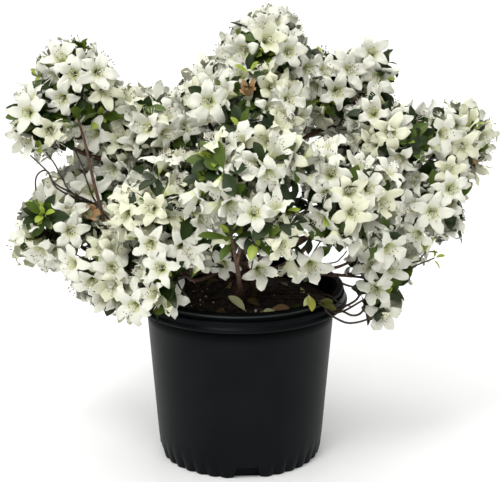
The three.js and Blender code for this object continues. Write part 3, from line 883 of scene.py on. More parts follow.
def buildScatterTree():
    tree, given, ids = openTree("scatter", {
        "Surface": "Geometry", "Shapes": "Collection", "Density": "Float", "Smallest": "Float",
        "Largest": "Float", "Lean": "Float", "Seed": "Int", "Material": "Material",
    })
    deal = addNode(tree, "GeometryNodeDistributePointsOnFaces", {"distribute_method": "RANDOM"}, {
        "Mesh": given["Surface"], "Density": given["Density"], "Seed": given["Seed"],
    }).outputs
    least = reckon(tree, "MULTIPLY", given["Lean"], -1.0)
    lowest = addNode(tree, "ShaderNodeCombineXYZ", {"Z": 0.0}, {"X": least, "Y": least})
    highest = addNode(tree, "ShaderNodeCombineXYZ", {"Z": 6.283}, {"X": given["Lean"], "Y": given["Lean"]})
    lean = randomBetween(tree, "FLOAT_VECTOR", given, lowest.outputs[0], highest.outputs[0])
    own = addNode(tree, "FunctionNodeEulerToRotation", links={"Euler": lean})
    turn = addNode(tree, "FunctionNodeRotateRotation", {"rotation_space": "LOCAL"}, {
        "Rotation": deal["Rotation"], 1: own.outputs[0],
    })
    size = randomBetween(tree, "FLOAT", given, given["Smallest"], given["Largest"])
    closeTree(tree, given, {"Points": deal["Points"], "Rotation": turn.outputs["Rotation"], "Scale": size})
    return tree, ids


sprayTree = buildSprayTree()
scatterTree = buildScatterTree()


# Runs a tree over a mesh with a set of shapes and makes a plain mesh of the result.
def bake(name, mesh, shapes, smooth, treeAndIds, values):
    tree, ids = treeAndIds
    kinds = bpy.data.collections.new(name + "_shapes")
    for i, heap in enumerate(shapes):
        shape = meshFrom(name, heap.points, heap.faces, smooth)
        kinds.objects.link(bpy.data.objects.new(f"{name}_{i:02d}", shape))
    piece = newObject(name, mesh)
    modifier = piece.modifiers.new(tree.name, "NODES")
    modifier.node_group = tree
    for socket, value in {"Shapes": kinds, **values}.items():
        modifier[ids[socket]] = value
    made = settle(piece, modifier)
    for shape in list(kinds.objects):
        bpy.data.objects.remove(shape)
    bpy.data.collections.remove(kinds)
    made.calc_loop_triangles()
    print(f"{name}: {len(made.loop_triangles)} triangles")
    return piece


# places: (spot in mm, turn, size, which shape)
def spray(name, places, shapes, material, spread=0.0, seed=1):
    mesh = bpy.data.meshes.new(name)
    mesh.from_pydata([tuple(p[0] * mm) for p in places], [], [])
    turns = mesh.attributes.new("turn", "QUATERNION", "POINT")
    turns.data.foreach_set("value", [c for p in places for c in p[1]])
    mesh.attributes.new("size", "FLOAT", "POINT").data.foreach_set("value", [p[2] for p in places])
    mesh.attributes.new("shape", "INT", "POINT").data.foreach_set("value", [p[3] for p in places])
    values = {"Size": 1.0, "Size spread": spread, "Seed": seed, "Material": material}
    piece = bake(name, mesh, shapes, True, sprayTree, values)
    piece.data.name = name
    for extra in ("turn", "size", "shape"):
        if extra in piece.data.attributes:
            piece.data.attributes.remove(piece.data.attributes[extra])
    return piece


# Deals a count of shapes over a surface, between the least and the most of their sizes.
def scatter(name, surface, shapes, count, sizes, lean, seed, material):
    values = {
        "Density": count / sum(face.area for face in surface.polygons), "Smallest": sizes[0],
        "Largest": sizes[1], "Lean": lean, "Seed": seed, "Material": material,
    }
    return bake(name, surface.copy(), shapes, False, scatterTree, values)


# An uneven splinter: a slab with chipped corners, lying in its own XY plane.
def splinter(seed, long, wide, thick):
    pick = np.random.default_rng(seed)
    points = []
    for level, share in ((-0.5, 0.86), (0.5, 0.7)):
        for k in range(6):
            angle = 2 * math.pi * (k + pick.uniform(-0.25, 0.25)) / 6
            reach = pick.uniform(0.8, 1.1) * share
            points.append(Vector((
                long / 2 * reach * math.cos(angle), wide / 2 * reach * math.sin(angle),
                thick * (level + pick.uniform(-0.25, 0.25)),
            )))
    faces = quads(2, 6, closed=True) + [[5, 4, 3, 2, 1, 0], [6, 7, 8, 9, 10, 11]]
    heap = Heap()
    heap.pour(points, faces)
    return heap


litter = {
    "inner": 21,
    "wallGap": 9,
    "rings": 14,
    "sides": 72,
    "lift": 0.6,
    "chips": {"count": 620, "sizes": (0.55, 1.15), "lean": 0.5, "seed": 11, "material": chipWood},
    "grains": {"count": 46, "sizes": (0.5, 1.2), "lean": 1.2, "seed": 12, "material": perliteWhite},
    "chipShapes": [(9, 4, 2), (13, 5, 2.4), (7, 5, 2.6), (16, 4.5, 2), (10, 7, 2.2), (6, 3, 2), (18, 6, 2.6)],
    "grainShapes": [(3.4, 3, 2.6)] * 3,
    "leafLift": 1.6,
    "leafUpper": (0.5, -0.6, 0.8),
    "leafScale": 1.16,
}


# The part of the bed that loose pieces may lie on: a disc at its own height, clear of the wall and the trunk.
def litterSurface():
    points, sides = [], litter["sides"]
    for r in np.linspace(litter["inner"], wallRadius(soil["top"]) - litter["wallGap"], litter["rings"]):
        for k in range(sides):
            x, y = r * math.cos(2 * math.pi * k / sides), r * math.sin(2 * math.pi * k / sides)
            points.append((x, y, soilHeight(x, y) + litter["lift"]))
    return meshFrom("litter_surface", points, quads(litter["rings"], sides, closed=True, flipped=True))


def makeLitter():
    bed = litterSurface()
    for name, kind, seed in (("bark_chips", "chip", 500), ("perlite_grains", "grain", 600)):
        shapes = [splinter(seed + i, *size) for i, size in enumerate(litter[kind + "Shapes"])]
        dress(scatter(name, bed, shapes, **litter[kind + "s"]), "potting_mix")


# Fallen leaves on the mix: where each one's foot lies (with its height where it lies on the rim), the way it
# points, its size, and its material
fallen = [
    ((8, -56), (-19, 8, 20), 0.84, fallenPetalPaintedLight), ((84, -82, 240), (7, -19, -12), 0.74, fallenLeafYellowPaintedLight),
    ((86, -84, 239), (-4, -17, -9), 0.5, fallenPetalPaintedLight),
    ((96, -54), (5, 8, 24), 0.66, leafFallen), ((95, -93, 231), (24, -3, -3), 0.7, leafOlive),
    ((97, -91, 233), (20, -4, 2), 0.5, leafOlive),
    ((90, -50), (-4, 10, 16), 0.46, leafLime), ((-64, -62), (-9, 4, 6), 0.44, leafMid),
    ((-58, -66), (9, 2, 6), 0.4, leafMid), ((-52, -72), (6, 5, 3), 0.36, leafMid),
    ((12, -24), (6, -8, 12), 0.8, leafFallen), ((26, -30), (-7, -9, 9), 0.7, leafFallen),
    ((38, -44), (10, -4, 3), 0.7, petalWilted), ((48, -60), (-9, -6, 4), 0.6, fallenPetalPaintedLight),
    ((62, -70), (7, 3, 10), 0.55, leafMid), ((22, -58), (10, -3, 2), 0.6, petalWilted),
    ((-34, -70), (6, 5, 1), 0.7, leafFallen), ((40, -74), (-9, 1, 1), 0.6, leafFallen),
    ((62, 48), (-4, 8, 1), 0.7, leafFallen), ((-48, 66), (8, 3, 1), 0.66, leafFallen),
    ((-82, 10), (3, -9, 1), 0.6, leafFallen), ((20, 84), (9, -2, 1), 0.5, leafLime),
    ((-20, 40), (9, 5, 2), 0.6, petalWilted), ((78, 22), (3, 8, 2), 0.5, fallenPetalPaintedLight),
]


def growFallen():
    kinds = (leafLime, fallenPetalPaintedLight, leafFallen, leafMid, fallenLeafYellowPaintedLight, leafOlive, petalWilted)
    for number, material in enumerate(kinds):
        places = []
        for index, (spot, way, size, own) in enumerate(fallen):
            if own is material:
                foot = Vector(spot if len(spot) == 3 else (*spot, soilHeight(*spot) + litter["leafLift"]))
                turn = turnTo(Vector(way), Vector(litter["leafUpper"]))
                places.append((foot, turn, size * litter["leafScale"], index % leaf["variants"]))
        dress(spray(f"fallen_leaves_{number + 1}", places, leafShapes, material), "potting_mix")


# Growing the plant

# The spirals of trusses on each mass: how many times the source's count, how far out of the radius, the least
# distance between two mouths, and the share of its reach by which one may fall short. With a valley a mouth has to
# lie that near the border of its own space, so that only the valleys between masses are filled.
spirals = [
    {"times": 1, "share": 1.0, "apart": 21.5, "uneven": 0.08},
    {"times": 2, "share": 1.0, "apart": 23, "uneven": 0.24},
    {"times": 4, "share": 1.2, "apart": 24, "valley": 20, "uneven": 0.16},
    {"times": 2, "share": 0.7, "apart": 28, "uneven": 0.3},
    {"times": 7, "share": 1.42, "apart": 25, "valley": 34, "uneven": 0.3, "behind": True},
]
spiralTurn = 1.1  # from each spiral to the next
leafySpiral = 1  # this one has trusses that are only leaves

# Where a truss has no room it is tried again, at a share of its reach from the mass's middle.
reachTries = [1, 0.88, 0.74, 0.6]

# The crown's outline from the front, on the upright plane through the trunk: for its top and bottom how high it
# stands at a place across, and for its left and right how far it reaches at a height. Flowers and leaves keep
# inside it and out of the gaps (across, height, radius). The hollows have no flowers in front of them, and the
# clearings have nothing in front of a depth of their own.
crown = {
    "top": [
        (-299, 464), (-284, 472), (-270, 504), (-254, 519), (-239, 536), (-224, 544), (-207, 549), (-180, 539),
        (-166, 512), (-149, 497), (-136, 483), (-92, 485), (-74, 499), (-54, 509), (-34, 522), (-17, 550),
        (-2, 573), (12, 585), (30, 594), (57, 586), (74, 574), (84, 544), (104, 539), (119, 518), (134, 518),
        (143, 538), (183, 538), (195, 524), (205, 464), (252, 465), (286, 461), (298, 472), (324, 459),
    ],
    "bottom": [
        (-301, 274), (-277, 243), (-231, 242), (-219, 212), (-204, 200), (-189, 185), (-158, 169), (-122, 170),
        (-104, 185), (116, 188), (144, 187), (160, 176), (191, 162), (209, 169), (215, 226), (235, 242),
        (255, 251), (265, 267), (282, 282), (295, 287), (300, 348), (312, 378), (326, 400),
    ],
    "left": [
        (155, -117), (169, -132), (180, -173), (196, -197), (210, -214), (233, -228), (239, -274), (255, -286),
        (277, -297), (303, -291), (319, -285), (338, -286), (356, -263), (374, -256), (395, -269), (408, -287),
        (436, -292), (454, -297), (472, -277), (497, -274), (512, -263), (534, -242), (548, -214),
    ],
    "right": [
        (172, 209), (218, 210), (237, 230), (253, 255), (271, 270), (282, 293), (298, 287), (345, 285), (361, 298),
        (377, 308), (395, 323), (423, 323), (441, 313), (459, 308), (464, 189), (487, 190), (517, 199), (538, 185),
        (544, 83), (562, 75), (582, 64), (591, 54),
    ],
    "hollows": [
        (12, 450, 19), (73, 340, 22), (89, 290, 18), (-33, 274, 14), (-64, 379, 11), (-248, 303, 15),
        (112, 459, 13), (-10, 301, 11), (44, 242, 11), (-89, 301, 11), (0, 451, 15), (-22, 428, 12), (22, 431, 12),
        (-50, 379, 14), (218, 420, 14), (76, 271, 13), (-140, 271, 14), (15, 218, 14), (-7, 224, 12),
        (211, 402, 12), (-118, 379, 13), (-62, 428, 12), (-50, 400, 14), (63, 331, 11), (116, 324, 13),
        (76, 351, 10), (194, 402, 11), (238, 402, 10), (-88, 220, 10),
    ],
    "hollowDepth": 40,
    "hollowMargin": 5,
    "clearings": [
        (-1, 222, 17, -60), (-3, 238, 17, -100), (-5, 255, 17, -130), (-7, 272, 15, -150), (-9, 288, 13, -165),
        (33, 253, 20, -95), (99, 255, 17, -131), (4, 294, 9, -190), (-256, 330, 22, -60), (-248, 295, 16, -60),
    ],
    "gaps": [
        (118, 261, 12), (136, 264, 9), (125, 243, 14), (141, 231, 11), (142, 208, 12), (126, 205, 14),
        (141, 188, 14), (-199, 271, 9), (-192, 253, 6),
    ],
    "petalReach": 22,
    "petalSpots": 6,
}
crownLines = {side: np.array(crown[side], dtype=float).T for side in ("top", "bottom", "left", "right")}


# Where a point shows on the upright plane through the trunk.
def seenOnPlane(point):
    eye = studio["cameraPlace"]
    share = -eye[1] / (point.y - eye[1])
    return eye[0] + (point.x - eye[0]) * share, eye[2] + (point.z - eye[2]) * share


def insideCrown(point):
    across, height = seenOnPlane(point)
    return (
        height < np.interp(across, *crownLines["top"]) and height > np.interp(across, *crownLines["bottom"])
        and across > np.interp(height, *crownLines["left"]) and across < np.interp(height, *crownLines["right"])
        and all(math.hypot(across - x, height - z) > radius for x, z, radius in crown["gaps"])
    )


# Whether a point shows in one of a set of circles (across, height, radius) that are wider by a margin.
def inCircles(point, circles, margin=0):
    across, height = seenOnPlane(point)
    return any(math.hypot(across - x, height - z) < radius + margin for x, z, radius in circles)


def inHollow(point):
    return point.y < crown["hollowDepth"] and inCircles(point, crown["hollows"], crown["hollowMargin"])


# Whether something of a size hangs in front of the stem that shows at the front.
def inClearing(point, size=0):
    circles = [(x, z, radius) for x, z, radius, depth in crown["clearings"] if point.y < depth]
    return inCircles(point, circles, size)


# Whether a flower's petals stay inside the crown's outline.
def petalsFit(mouth, turn, size):
    reach = crown["petalReach"] * size
    angles = [n * 2 * math.pi / crown["petalSpots"] for n in range(crown["petalSpots"])]
    ring = [Vector((math.cos(angle), math.sin(angle), 0)) * reach for angle in angles]
    return all(insideCrown(mouth + turn @ spot * part) for part in (1, 0.5) for spot in ring)


# The low gap at the front through which the mix and the stems show, under a sill that drops towards the front
frontGap = {"left": -90, "right": 4, "depth": -50, "sill": 262, "slope": 0.28}


def inFrontGap(point, margin=0):
    across = frontGap["left"] + margin < point.x < frontGap["right"] - margin
    below = point.z + frontGap["slope"] * point.y < frontGap["sill"] - margin
    return across and below and point.y < frontGap["depth"]


# Flowers and leafy shoots with a place of their own: the mass each one hangs from, the middle of the mouth, the
# way it faces, its size, and the shape of the flower, where it is one
single = [
    ("low_right", (178, -95, 215), (0.15, -0.95, -0.12), 1.0, 0),
    ("low_right", (166, -105, 253), (-0.1, -0.95, 0.2), 0.98, 7),
    ("low_right", (187, -100, 279), (0.3, -0.9, 0.25), 1.0, 1),
    ("low_right", (157, -98, 282), (-0.3, -0.9, 0.3), 0.94, 4),
    ("front_low_left", (-82, -128, 248), (0.15, -0.95, 0.1), 0.96, 3),
    ("front_right", (87, -130, 288), (0.1, -0.96, -0.1), 1.06, 10),
    ("upper_front", (-37, -120, 489), (-0.1, -0.9, 0.1), 1.1, 1),
    ("front_centre", (52, -175, 439), (0.05, -0.95, 0.25), 1.12, 10),
    ("front_centre", (26, -170, 455), (-0.4, -0.85, 0.35), 1.0, 4),
    ("top_right_tip", (163, -4, 528), (-0.06, -0.93, 0.37), 0.94, 0),
    ("high_left", (-172, -40, 510), (0.19, -0.96, 0.22), 1.02, 1),
    ("crown_top", (87, -19, 508), (0.42, -0.91, -0.02), 0.97, 3),
    ("top_right", (136, -6, 505), (0.24, -0.92, 0.3), 1.05, 10),
    ("high_left", (-164, -36, 484), (0.27, -0.96, 0.03), 1.0, 7),
    ("upper_front", (61, -93, 488), (0.32, -0.92, 0.25), 0.95, 4),
    ("top_right", (121, -21, 481), (0.12, -0.99, 0.11), 1.03, 11),
    ("right_shoulder", (160, -72, 467), (-0.18, -0.92, 0.35), 0.98, 2),
    ("far_right", (261, -28, 457), (-0.13, -0.91, 0.4), 1.06, 0),
    ("right_shoulder", (181, -88, 446), (-0.03, -0.98, 0.19), 1.01, 1),
    ("far_right", (273, -46, 416), (-0.03, -1.0, 0.07), 0.96, 3),
    ("right_shoulder", (253, -55, 436), (0.52, -0.84, 0.13), 1.04, 10),
    ("front_right", (106, -164, 416), (-0.09, -0.88, 0.46), 0.99, 7),
    ("front_right", (128, -183, 397), (0.05, -0.95, 0.31), 0.94, 4),
    ("low_left_tip", (-181, -71, 342), (0.52, -0.77, 0.38), 1.02, 11),
    ("front_left", (-102, -174, 375), (-0.04, -0.96, 0.27), 0.98, 2),
    ("front_low_centre", (18, -222, 384), (0.07, -0.91, 0.41), 1.0, 0),
    ("front_right", (131, -192, 373), (0.07, -0.98, 0.16), 1.01, 1),
    ("right_belly", (210, -88, 351), (-0.26, -0.96, 0.13), 0.96, 3),
    ("right_belly", (233, -99, 347), (-0.09, -0.99, 0.09), 1.04, 10),
    ("low_left_tip", (-204, -97, 324), (0.28, -0.94, 0.2), 0.99, 7),
    ("front_left", (-65, -168, 322), (0.2, -0.98, -0.07), 1.07, 4),
    ("front_low_left", (-94, -184, 305), (-0.15, -0.93, 0.34), 1.02, 11),
    ("left_shoulder", (-65, -4, 432), (0.42, -0.89, 0.17), 0.97, 2),
    ("far_left", (-259, -54, 463), (-0.09, -0.96, 0.28), 1.05, 0),
    ("upper_front", (10, -80, 535), (-0.06, -0.68, 0.73), 1.0, None),
    ("crown_top", (34, -52, 539), (0.0, -0.91, 0.41), 0.95, None),
    ("upper_front", (75, -78, 471), (0.43, -0.81, 0.4), 1.03, None),
    ("top_right", (99, -23, 474), (-0.03, -0.95, 0.3), 0.98, None),
    ("high_left", (-206, -48, 487), (-0.05, -0.96, 0.29), 1.06, None),
    ("far_left", (-210, -45, 439), (0.31, -0.89, 0.33), 1.01, None),
    ("low_left_tip", (-240, -108, 358), (-0.04, -0.82, 0.56), 1.06, None),
    ("low_left_tip", (-239, -106, 328), (0.0, -0.9, -0.4), 1.0, None),
    ("front_centre", (39, -214, 429), (0.1, -0.91, 0.41), 1.04, None),
    ("high_left", (-167, -35, 449), (0.24, -0.97, 0.03), 0.99, None),
    ("high_left", (-257, -27, 510), (-0.39, -0.81, 0.44), 0.94, None),
    ("front_centre", (-1, -157, 484), (-0.12, -0.66, 0.75), 1.02, None),
    ("front_centre", (-36, -182, 445), (-0.31, -0.79, 0.52), 0.97, None),
    ("right_shoulder", (205, -86, 438), (0.13, -0.92, 0.37), 1.05, None),
    ("front_centre", (-45, -181, 420), (-0.38, -0.83, 0.41), 1.0, None),
    ("right_belly", (260, -94, 368), (0.09, -0.89, 0.45), 0.95, None),
    ("low_left_tip", (-207, -84, 347), (0.27, -0.87, 0.42), 0.95, 4),
    ("left_shoulder", (-162, -20, 379), (-0.28, -0.94, -0.2), 1.03, 11),
    ("far_left", (-230, -57, 439), (0.15, -0.99, 0.08), 0.98, 2),
    ("left_shoulder", (-184, -16, 428), (-0.42, -0.9, 0.13), 1.06, 0),
    ("low_left", (-153, -131, 289), (0.03, -0.95, 0.3), 1.01, 1),
    ("front_left", (-105, -177, 329), (-0.06, -1.0, -0.02), 0.96, 3),
    ("front_low_left", (-129, -175, 252), (-0.44, -0.89, -0.1), 1.04, 10),
    ("crown_top", (61, -46, 536), (0.19, -0.97, 0.17), 0.99, 7),
    ("front_right", (153, -172, 399), (0.22, -0.92, 0.34), 0.94, 4),
    ("right_belly", (257, -91, 377), (0.08, -0.95, 0.31), 1.02, 11),
    ("right_belly", (256, -74, 396), (0.07, -0.88, 0.46), 0.98, 2),
    ("front_right", (181, -157, 318), (0.42, -0.89, -0.19), 1.06, 0),
    ("top_right", (139, -1, 509), (0.26, -0.91, 0.33), 1.01, 1),
    ("front_low_left", (-60, -172, 317), (-0.2, -0.97, 0.1), 0.86, 3),
    ("front_low_centre", (26, -142, 288), (0.25, -0.95, 0.1), 0.96, 0),
    ("front_low_centre", (-21, -92, 279), (-0.05, -0.97, 0.05), 0.86, 1),
    ("left_belly", (-186, -34, 360), (-0.04, -0.93, 0.36), 1.04, 10),
    ("high_left", (-219, -42, 475), (-0.15, -0.99, -0.04), 0.99, 7),
    ("front_centre", (-45, -166, 443), (-0.38, -0.74, 0.55), 1.07, None),
    ("left_shoulder", (-191, 6, 401), (-0.52, -0.82, 0.23), 1.02, None),
    ("front_low_centre", (58, -206, 387), (0.21, -0.74, 0.64), 0.97, None),
    ("front_right", (110, -190, 382), (-0.05, -0.9, 0.44), 1.05, None),
    ("right_shoulder", (216, -81, 422), (0.21, -0.94, 0.28), 1.0, None),
    ("left_shoulder", (-74, -17, 430), (0.3, -0.87, 0.39), 0.95, None),
    ("front_low_left", (-115, -163, 306), (-0.31, -0.74, 0.59), 1.03, None),
]


def growSingles(masses):
    trusses = []
    for index, (name, mouth, way, size, variant) in enumerate(single):
        mass = next(m for m in masses if m["name"] == name)
        mouth, way = Vector(mouth), Vector(way).normalized()
        foot, flowers = mouth - way * flower["mouth"], []
        if variant is not None:
            turn = frameAlong(way, dealtTurn(index, 401))
            size *= flower["size"]
            if not petalsFit(mouth, turn, size * flower["placedFit"]):
                continue
            flowers.append({
                "foot": foot, "way": way, "turn": turn, "mouth": mouth, "size": size, "variant": variant,
            })
        trusses.append({
            "mass": mass, "index": index % mass["trusses"], "tip": foot - way * flower["stalk"], "facing": way,
            "flowers": flowers, "layer": 0, "key": 300 + index, "placed": variant is None,
        })
    return trusses


def growFlowers(masses):
    trusses = growSingles(masses)
    taken = [bloom["mouth"] for truss in trusses for bloom in truss["flowers"]]
    ceiling, girth = flower["overPot"]

    def hasRoom(bloom, fellows, mass, spiral):
        mouth = bloom["mouth"]
        if mouth.z < flower["lowest"] or (mouth.z < ceiling and math.hypot(mouth.x, mouth.y) < girth):
            return False
        if inFrontGap(mouth) or inHollow(mouth) or inClearing(mouth, flower["clearance"]):
            return False
        if any((mouth - other).length < spiral["apart"] for other in taken + fellows):
            return False
        if not -flower["overlap"] <= ownSpace(mouth, mass, masses) <= spiral.get("valley", math.inf):
            return False
        return petalsFit(mouth, bloom["turn"], bloom["size"])

    def bloomsOf(truss, tip, mass, spiral):
        key, index = truss["key"], truss["index"]
        spin = dealtTurn(key, index, 5)
        wanted = flower["perTruss"] + (1 if chance(key, index, 9) > flower["oneMoreAbove"] else 0)
        made = []
        for n in range(wanted):
            tilt = math.radians(flower["tilt"] * dealt(flower["tilts"], key, index, 20 + n))
            way = tilted(truss["facing"], tilt, spin + 2 * math.pi * n / wanted)
            way = (way + up * dealt(flower["rises"], key, index, 26 + n)).normalized()
            foot = tip + way * flower["stalk"]
            bloom = {
                "foot": foot, "way": way, "turn": frameAlong(way, dealtTurn(key, index, 11 + n)),
                "mouth": foot + way * flower["mouth"],
                "size": flower["size"] * dealt(flower["sizes"], key, index, 41 + n),
                "variant": int(chance(key, index, 31 + n) * flower["variants"]) % flower["variants"],
            }
            if hasRoom(bloom, [other["mouth"] for other in made], mass, spiral):
                made.append(bloom)
        return made, wanted

    # Tries the truss at shares of its reach, and keeps the tip with the most flowers.
    def settleTruss(truss, mass, spiral):
        whole = truss["tip"]
        uneven = 1 - spiral["uneven"] * chance(truss["key"], truss["index"], 180)
        for share in reachTries:
            tip = mass["middle"].lerp(whole, share * uneven)
            if truss["shoot"]:
                truss["tip"] = tip
                if insideCrown(tip + truss["facing"] * leaf["length"] * 0.8):
                    return
                continue
            blooms, wanted = bloomsOf(truss, tip, mass, spiral)
            if len(blooms) > len(truss["flowers"]):
                truss["flowers"], truss["tip"] = blooms, tip
            if len(blooms) == wanted:
                return

    for layer, spiral in enumerate(spirals):
        for mass in masses:
            grown = trussesOf(mass, spiral["times"] * mass["trusses"], spiralTurn * layer, spiral["share"])
            if "behind" in spiral:
                grown = [truss for truss in grown if truss["facing"].y > 0 and mass["middle"].y > 0]
            for truss in grown:
                truss["layer"], truss["key"] = layer, mass["index"] + 0.37 * layer
                isLeafy = chance(truss["key"], truss["index"], 170) < flower["leafyShare"]
                truss["shoot"] = layer == leafySpiral and isLeafy
            if layer == 0:
                for shoot in sorted(grown, key=lambda one: one["facing"].y)[:mass["leafy"]]:
                    shoot["shoot"] = True
            for truss in grown:
                settleTruss(truss, mass, spiral)
                taken.extend(bloom["mouth"] for bloom in truss["flowers"])
                if truss["flowers"] or truss["shoot"] or layer == 0:
                    trusses.append(truss)
    print("trusses", len(trusses), "flowers", len(taken))
    return trusses


def growLeaves(shoots, masses):
    kinds = {"dark": [], "mid": [], "lime": []}
    cups = np.array([
        bloom["foot"] + bloom["way"] * (flower["cupMiddle"] * bloom["size"])
        for shoot in shoots for bloom in shoot["flowers"]
    ])

    def throughCup(spot):
        return np.min(np.sum((cups - np.array(spot)) ** 2, axis=1)) < flower["cupRadius"] ** 2

    def grow(kind, foot, way, upper, size, luck, free=False, placed=False):
        end = foot + way * leaf["length"] * size
        clear = placed or not any(inClearing(foot.lerp(end, share)) for share in leaf["clearAt"])
        if clear and any(throughCup(foot.lerp(end, share)) for share in leaf["cupAt"]):
            return
        fits = clear and insideCrown(end) and insideCrown(foot) and not inFrontGap(end, leaf["gapMargin"])
        if free or fits:
            kinds[kind].append((foot, turnTo(way, upper), size, int(luck * leaf["shuffle"]) % leaf["variants"]))

    for shoot in shoots:
        key, index = shoot["key"], shoot["index"]
        facing, tip = shoot["facing"], shoot["tip"]
        bare = not shoot["flowers"]
        habit = leaf["shoot"] if bare else leaf["whorl"]
        count = shoot.get("count", habit["count"])
        for n in range(count):
            luck = chance(key, index, 60 + n)
            tilt = math.radians(habit["tilt"] + leaf["tiltSpan"] * (luck - 0.5))
            if bare:
                tilt *= leaf["opening"][0] + leaf["opening"][1] * n / count
            way = tilted(facing, tilt, n * goldenAngle + leaf["turnSpan"] * chance(key, index, 7))
            foot = tip - facing * (habit["step"] * n) + way
            young = bare and n < leaf["young"]
            size = dealt(leaf["sizes"], key, index, 80 + n)
            size *= leaf["youngSizes"][0] + leaf["youngSizes"][1] * n if young else 1
            isMid = chance(key, index, 90 + n) > habit["midAbove"]
            kind = "lime" if young else ("mid" if isMid else "dark")
            grow(kind, foot, way, facing + up * 0.5, size, luck, "count" in shoot, shoot.get("placed", False))
    for mass in masses:
        own, stem = mass["index"], mass["stem"]
        for n in range(inner["count"]):
            luck = chance(own, n, 121)
            share = dealt(inner["along"], own, n, 120)
            tilt = math.radians(inner["tilt"] + inner["tiltSpan"] * luck)
            way = tilted(wayAlong(stem, share), tilt, n * goldenAngle)
            spot = along(stem, share) + way * (inner["reach"] * chance(own, n, 122))
            grow("dark", spot, way, up, dealt(inner["sizes"], own, n, 123), luck)
    return kinds


twig = {
    "stem": {"rings": 8, "radii": (1.9, 1.3), "sides": 6},
    "shoot": {"rings": 6, "radii": (1.25, 0.85), "sides": 5},
    "bow": 0.5,  # of its length, how far it runs the way it starts and ends, and how much it rises
    "rise": 0.05,
    "stalkRadii": [0.6, 0.65, 1.4, 1.9],
    "stalkSag": 0.4,
    "calyx": 2.4,
    "straySides": 7,
    "stout": 2.4,  # a stray twig with a thicker foot has bark like a bough's
}


def growTwigs(trusses, masses):
    wood, green = Heap(), Heap()
    for mass in masses:
        tubeAlong(wood, mass["stem"], **twig["stem"])
    for truss in trusses:
        mass, tip = truss["mass"], truss["tip"]
        count = spirals[truss["layer"]]["times"] * mass["trusses"]
        share = plant["firstFork"] + (1 - plant["firstFork"]) * (count - truss["index"]) / count
        root = along(mass["stem"], share)
        span = (tip - root).length
        way = (wayAlong(mass["stem"], share) + truss["facing"]).normalized()
        bend = root + way * span * twig["bow"] + up * twig["rise"] * span
        tubeAlong(wood, bentCurve(root, bend, tip), **twig["shoot"])
        for bloom in truss["flowers"]:
            foot, way = bloom["foot"], bloom["way"]
            path = [tip, tip.lerp(foot, 0.5) - way * twig["stalkSag"], foot, foot + way * twig["calyx"]]
            tube(green, path, twig["stalkRadii"], 5)
    return wood, green


# Twigs that stand clear of the masses: the bough each one leaves and how far along it, the points it runs through,
# its radius at both ends, and what it ends in.
strays = [
    ("low_left", 0.75, [(-158, -60, 302), (-171, -75, 352), (-181, -75, 396), (-188, -60, 423), (-198, -45, 454)],
     2.5, 1.5, "leaves"),
    ("left_belly", 0.9, [(-201, -70, 363), (-218, -60, 382), (-227, -50, 396), (-239, -40, 410)], 1.2, 0.9, ""),
    ("left_belly", 0.9, [(-217, -70, 367), (-235, -60, 389), (-257, -50, 408)], 1.3, 0.9, ""),
    ("left_belly", 0.92, [(-220, -66, 372), (-235, -61, 390), (-244, -62, 390), (-250, -64, 380), (-249, -66, 355)],
     1.1, 1.0, "bud"),
    ("low_left", 0.8, [(-170, -72, 345), (-185, -70, 376), (-193, -60, 398), (-204, -45, 416)], 1.4, 1.0, ""),
    ("low_left", 0.9, [(-170, -80, 280), (-186, -85, 284), (-203, -90, 294)], 1.1, 0.8, ""),
    ("low_left", 0.95, [(-175, -80, 275), (-190, -85, 279), (-201, -90, 283)], 1.0, 0.8, ""),
    ("", 0.12, [(4, -32, 219), (0, -80, 249), (-2, -135, 286), (-5, -172, 316), (-7, -190, 336), (-10, -198, 350)],
     3.6, 1.6, "leaves"),
    ("", 0.14, [(4, -32, 219), (0, -80, 249), (-3, -150, 297), (1, -184, 327), (3, -196, 345)], 3.0, 1.4, "bud"),
    ("", 0.2, [(6, -20, 222), (15, -42, 238), (22, -62, 262), (26, -90, 300)], 3.0, 1.8, ""),
    ("front_right", 0.5, [(110, -58, 266), (120, -66, 269), (131, -74, 276), (145, -84, 287)], 2.6, 1.5, ""),
    ("front_right", 0.5, [(113, -55, 271), (126, -60, 280), (132, -66, 290)], 1.0, 0.8, ""),
    ("front_right", 0.32, [(109, -40, 251), (123, -48, 245), (132, -56, 243), (141, -64, 243), (150, -70, 245)],
     2.0, 1.0, ""),
    ("", 0.1, [(46, -32, 224), (102, -77, 234), (121, -84, 220), (131, -88, 226), (143, -90, 234),
     (149, -88, 243), (153, -84, 249)], 1.7, 1.3, ""),
    ("", 0.1, [(44, -35, 226), (100, -80, 235), (119, -86, 219), (130, -90, 221), (146, -94, 232),
     (158, -92, 239)], 1.7, 1.2, ""),
    ("", 0.1, [(50, -30, 228), (106, -72, 236), (124, -78, 226), (140, -86, 224)], 1.2, 0.8, ""),
    ("", 0.1, [(42, -38, 222), (98, -82, 234), (116, -88, 218), (127, -92, 220), (137, -94, 216),
     (146, -98, 218), (152, -98, 224), (154, -94, 230)], 1.4, 1.4, ""),
    ("", 0.1, [(40, -42, 221), (94, -86, 233), (108, -98, 221), (117, -104, 216), (129, -110, 212),
     (139, -112, 212), (151, -110, 214), (166, -104, 218)], 1.5, 1.2, ""),
    ("low_right", 0.9, [(204, -70, 269), (222, -80, 278), (239, -85, 287)], 1.2, 0.8, "bud"),
    ("low_right", 0.85, [(213, -72, 277), (222, -80, 285), (228, -85, 295)], 1.1, 0.8, "bud"),
]

strayLeaves = {"leaves": leaf["shoot"]["count"], "bud": 3}

# The thicket of bare twigs low on the left
thicket = {
    "bough": "low_left",
    "along": (0.45, 0.5),
    "count": 26,
    "middle": (-126, -45, 284),
    "spread": (32, 26, 26),
    "bow": 14,
    "sag": 0.3,
    "radius": 1.1,
    "taper": (1.3, 0.7),
}


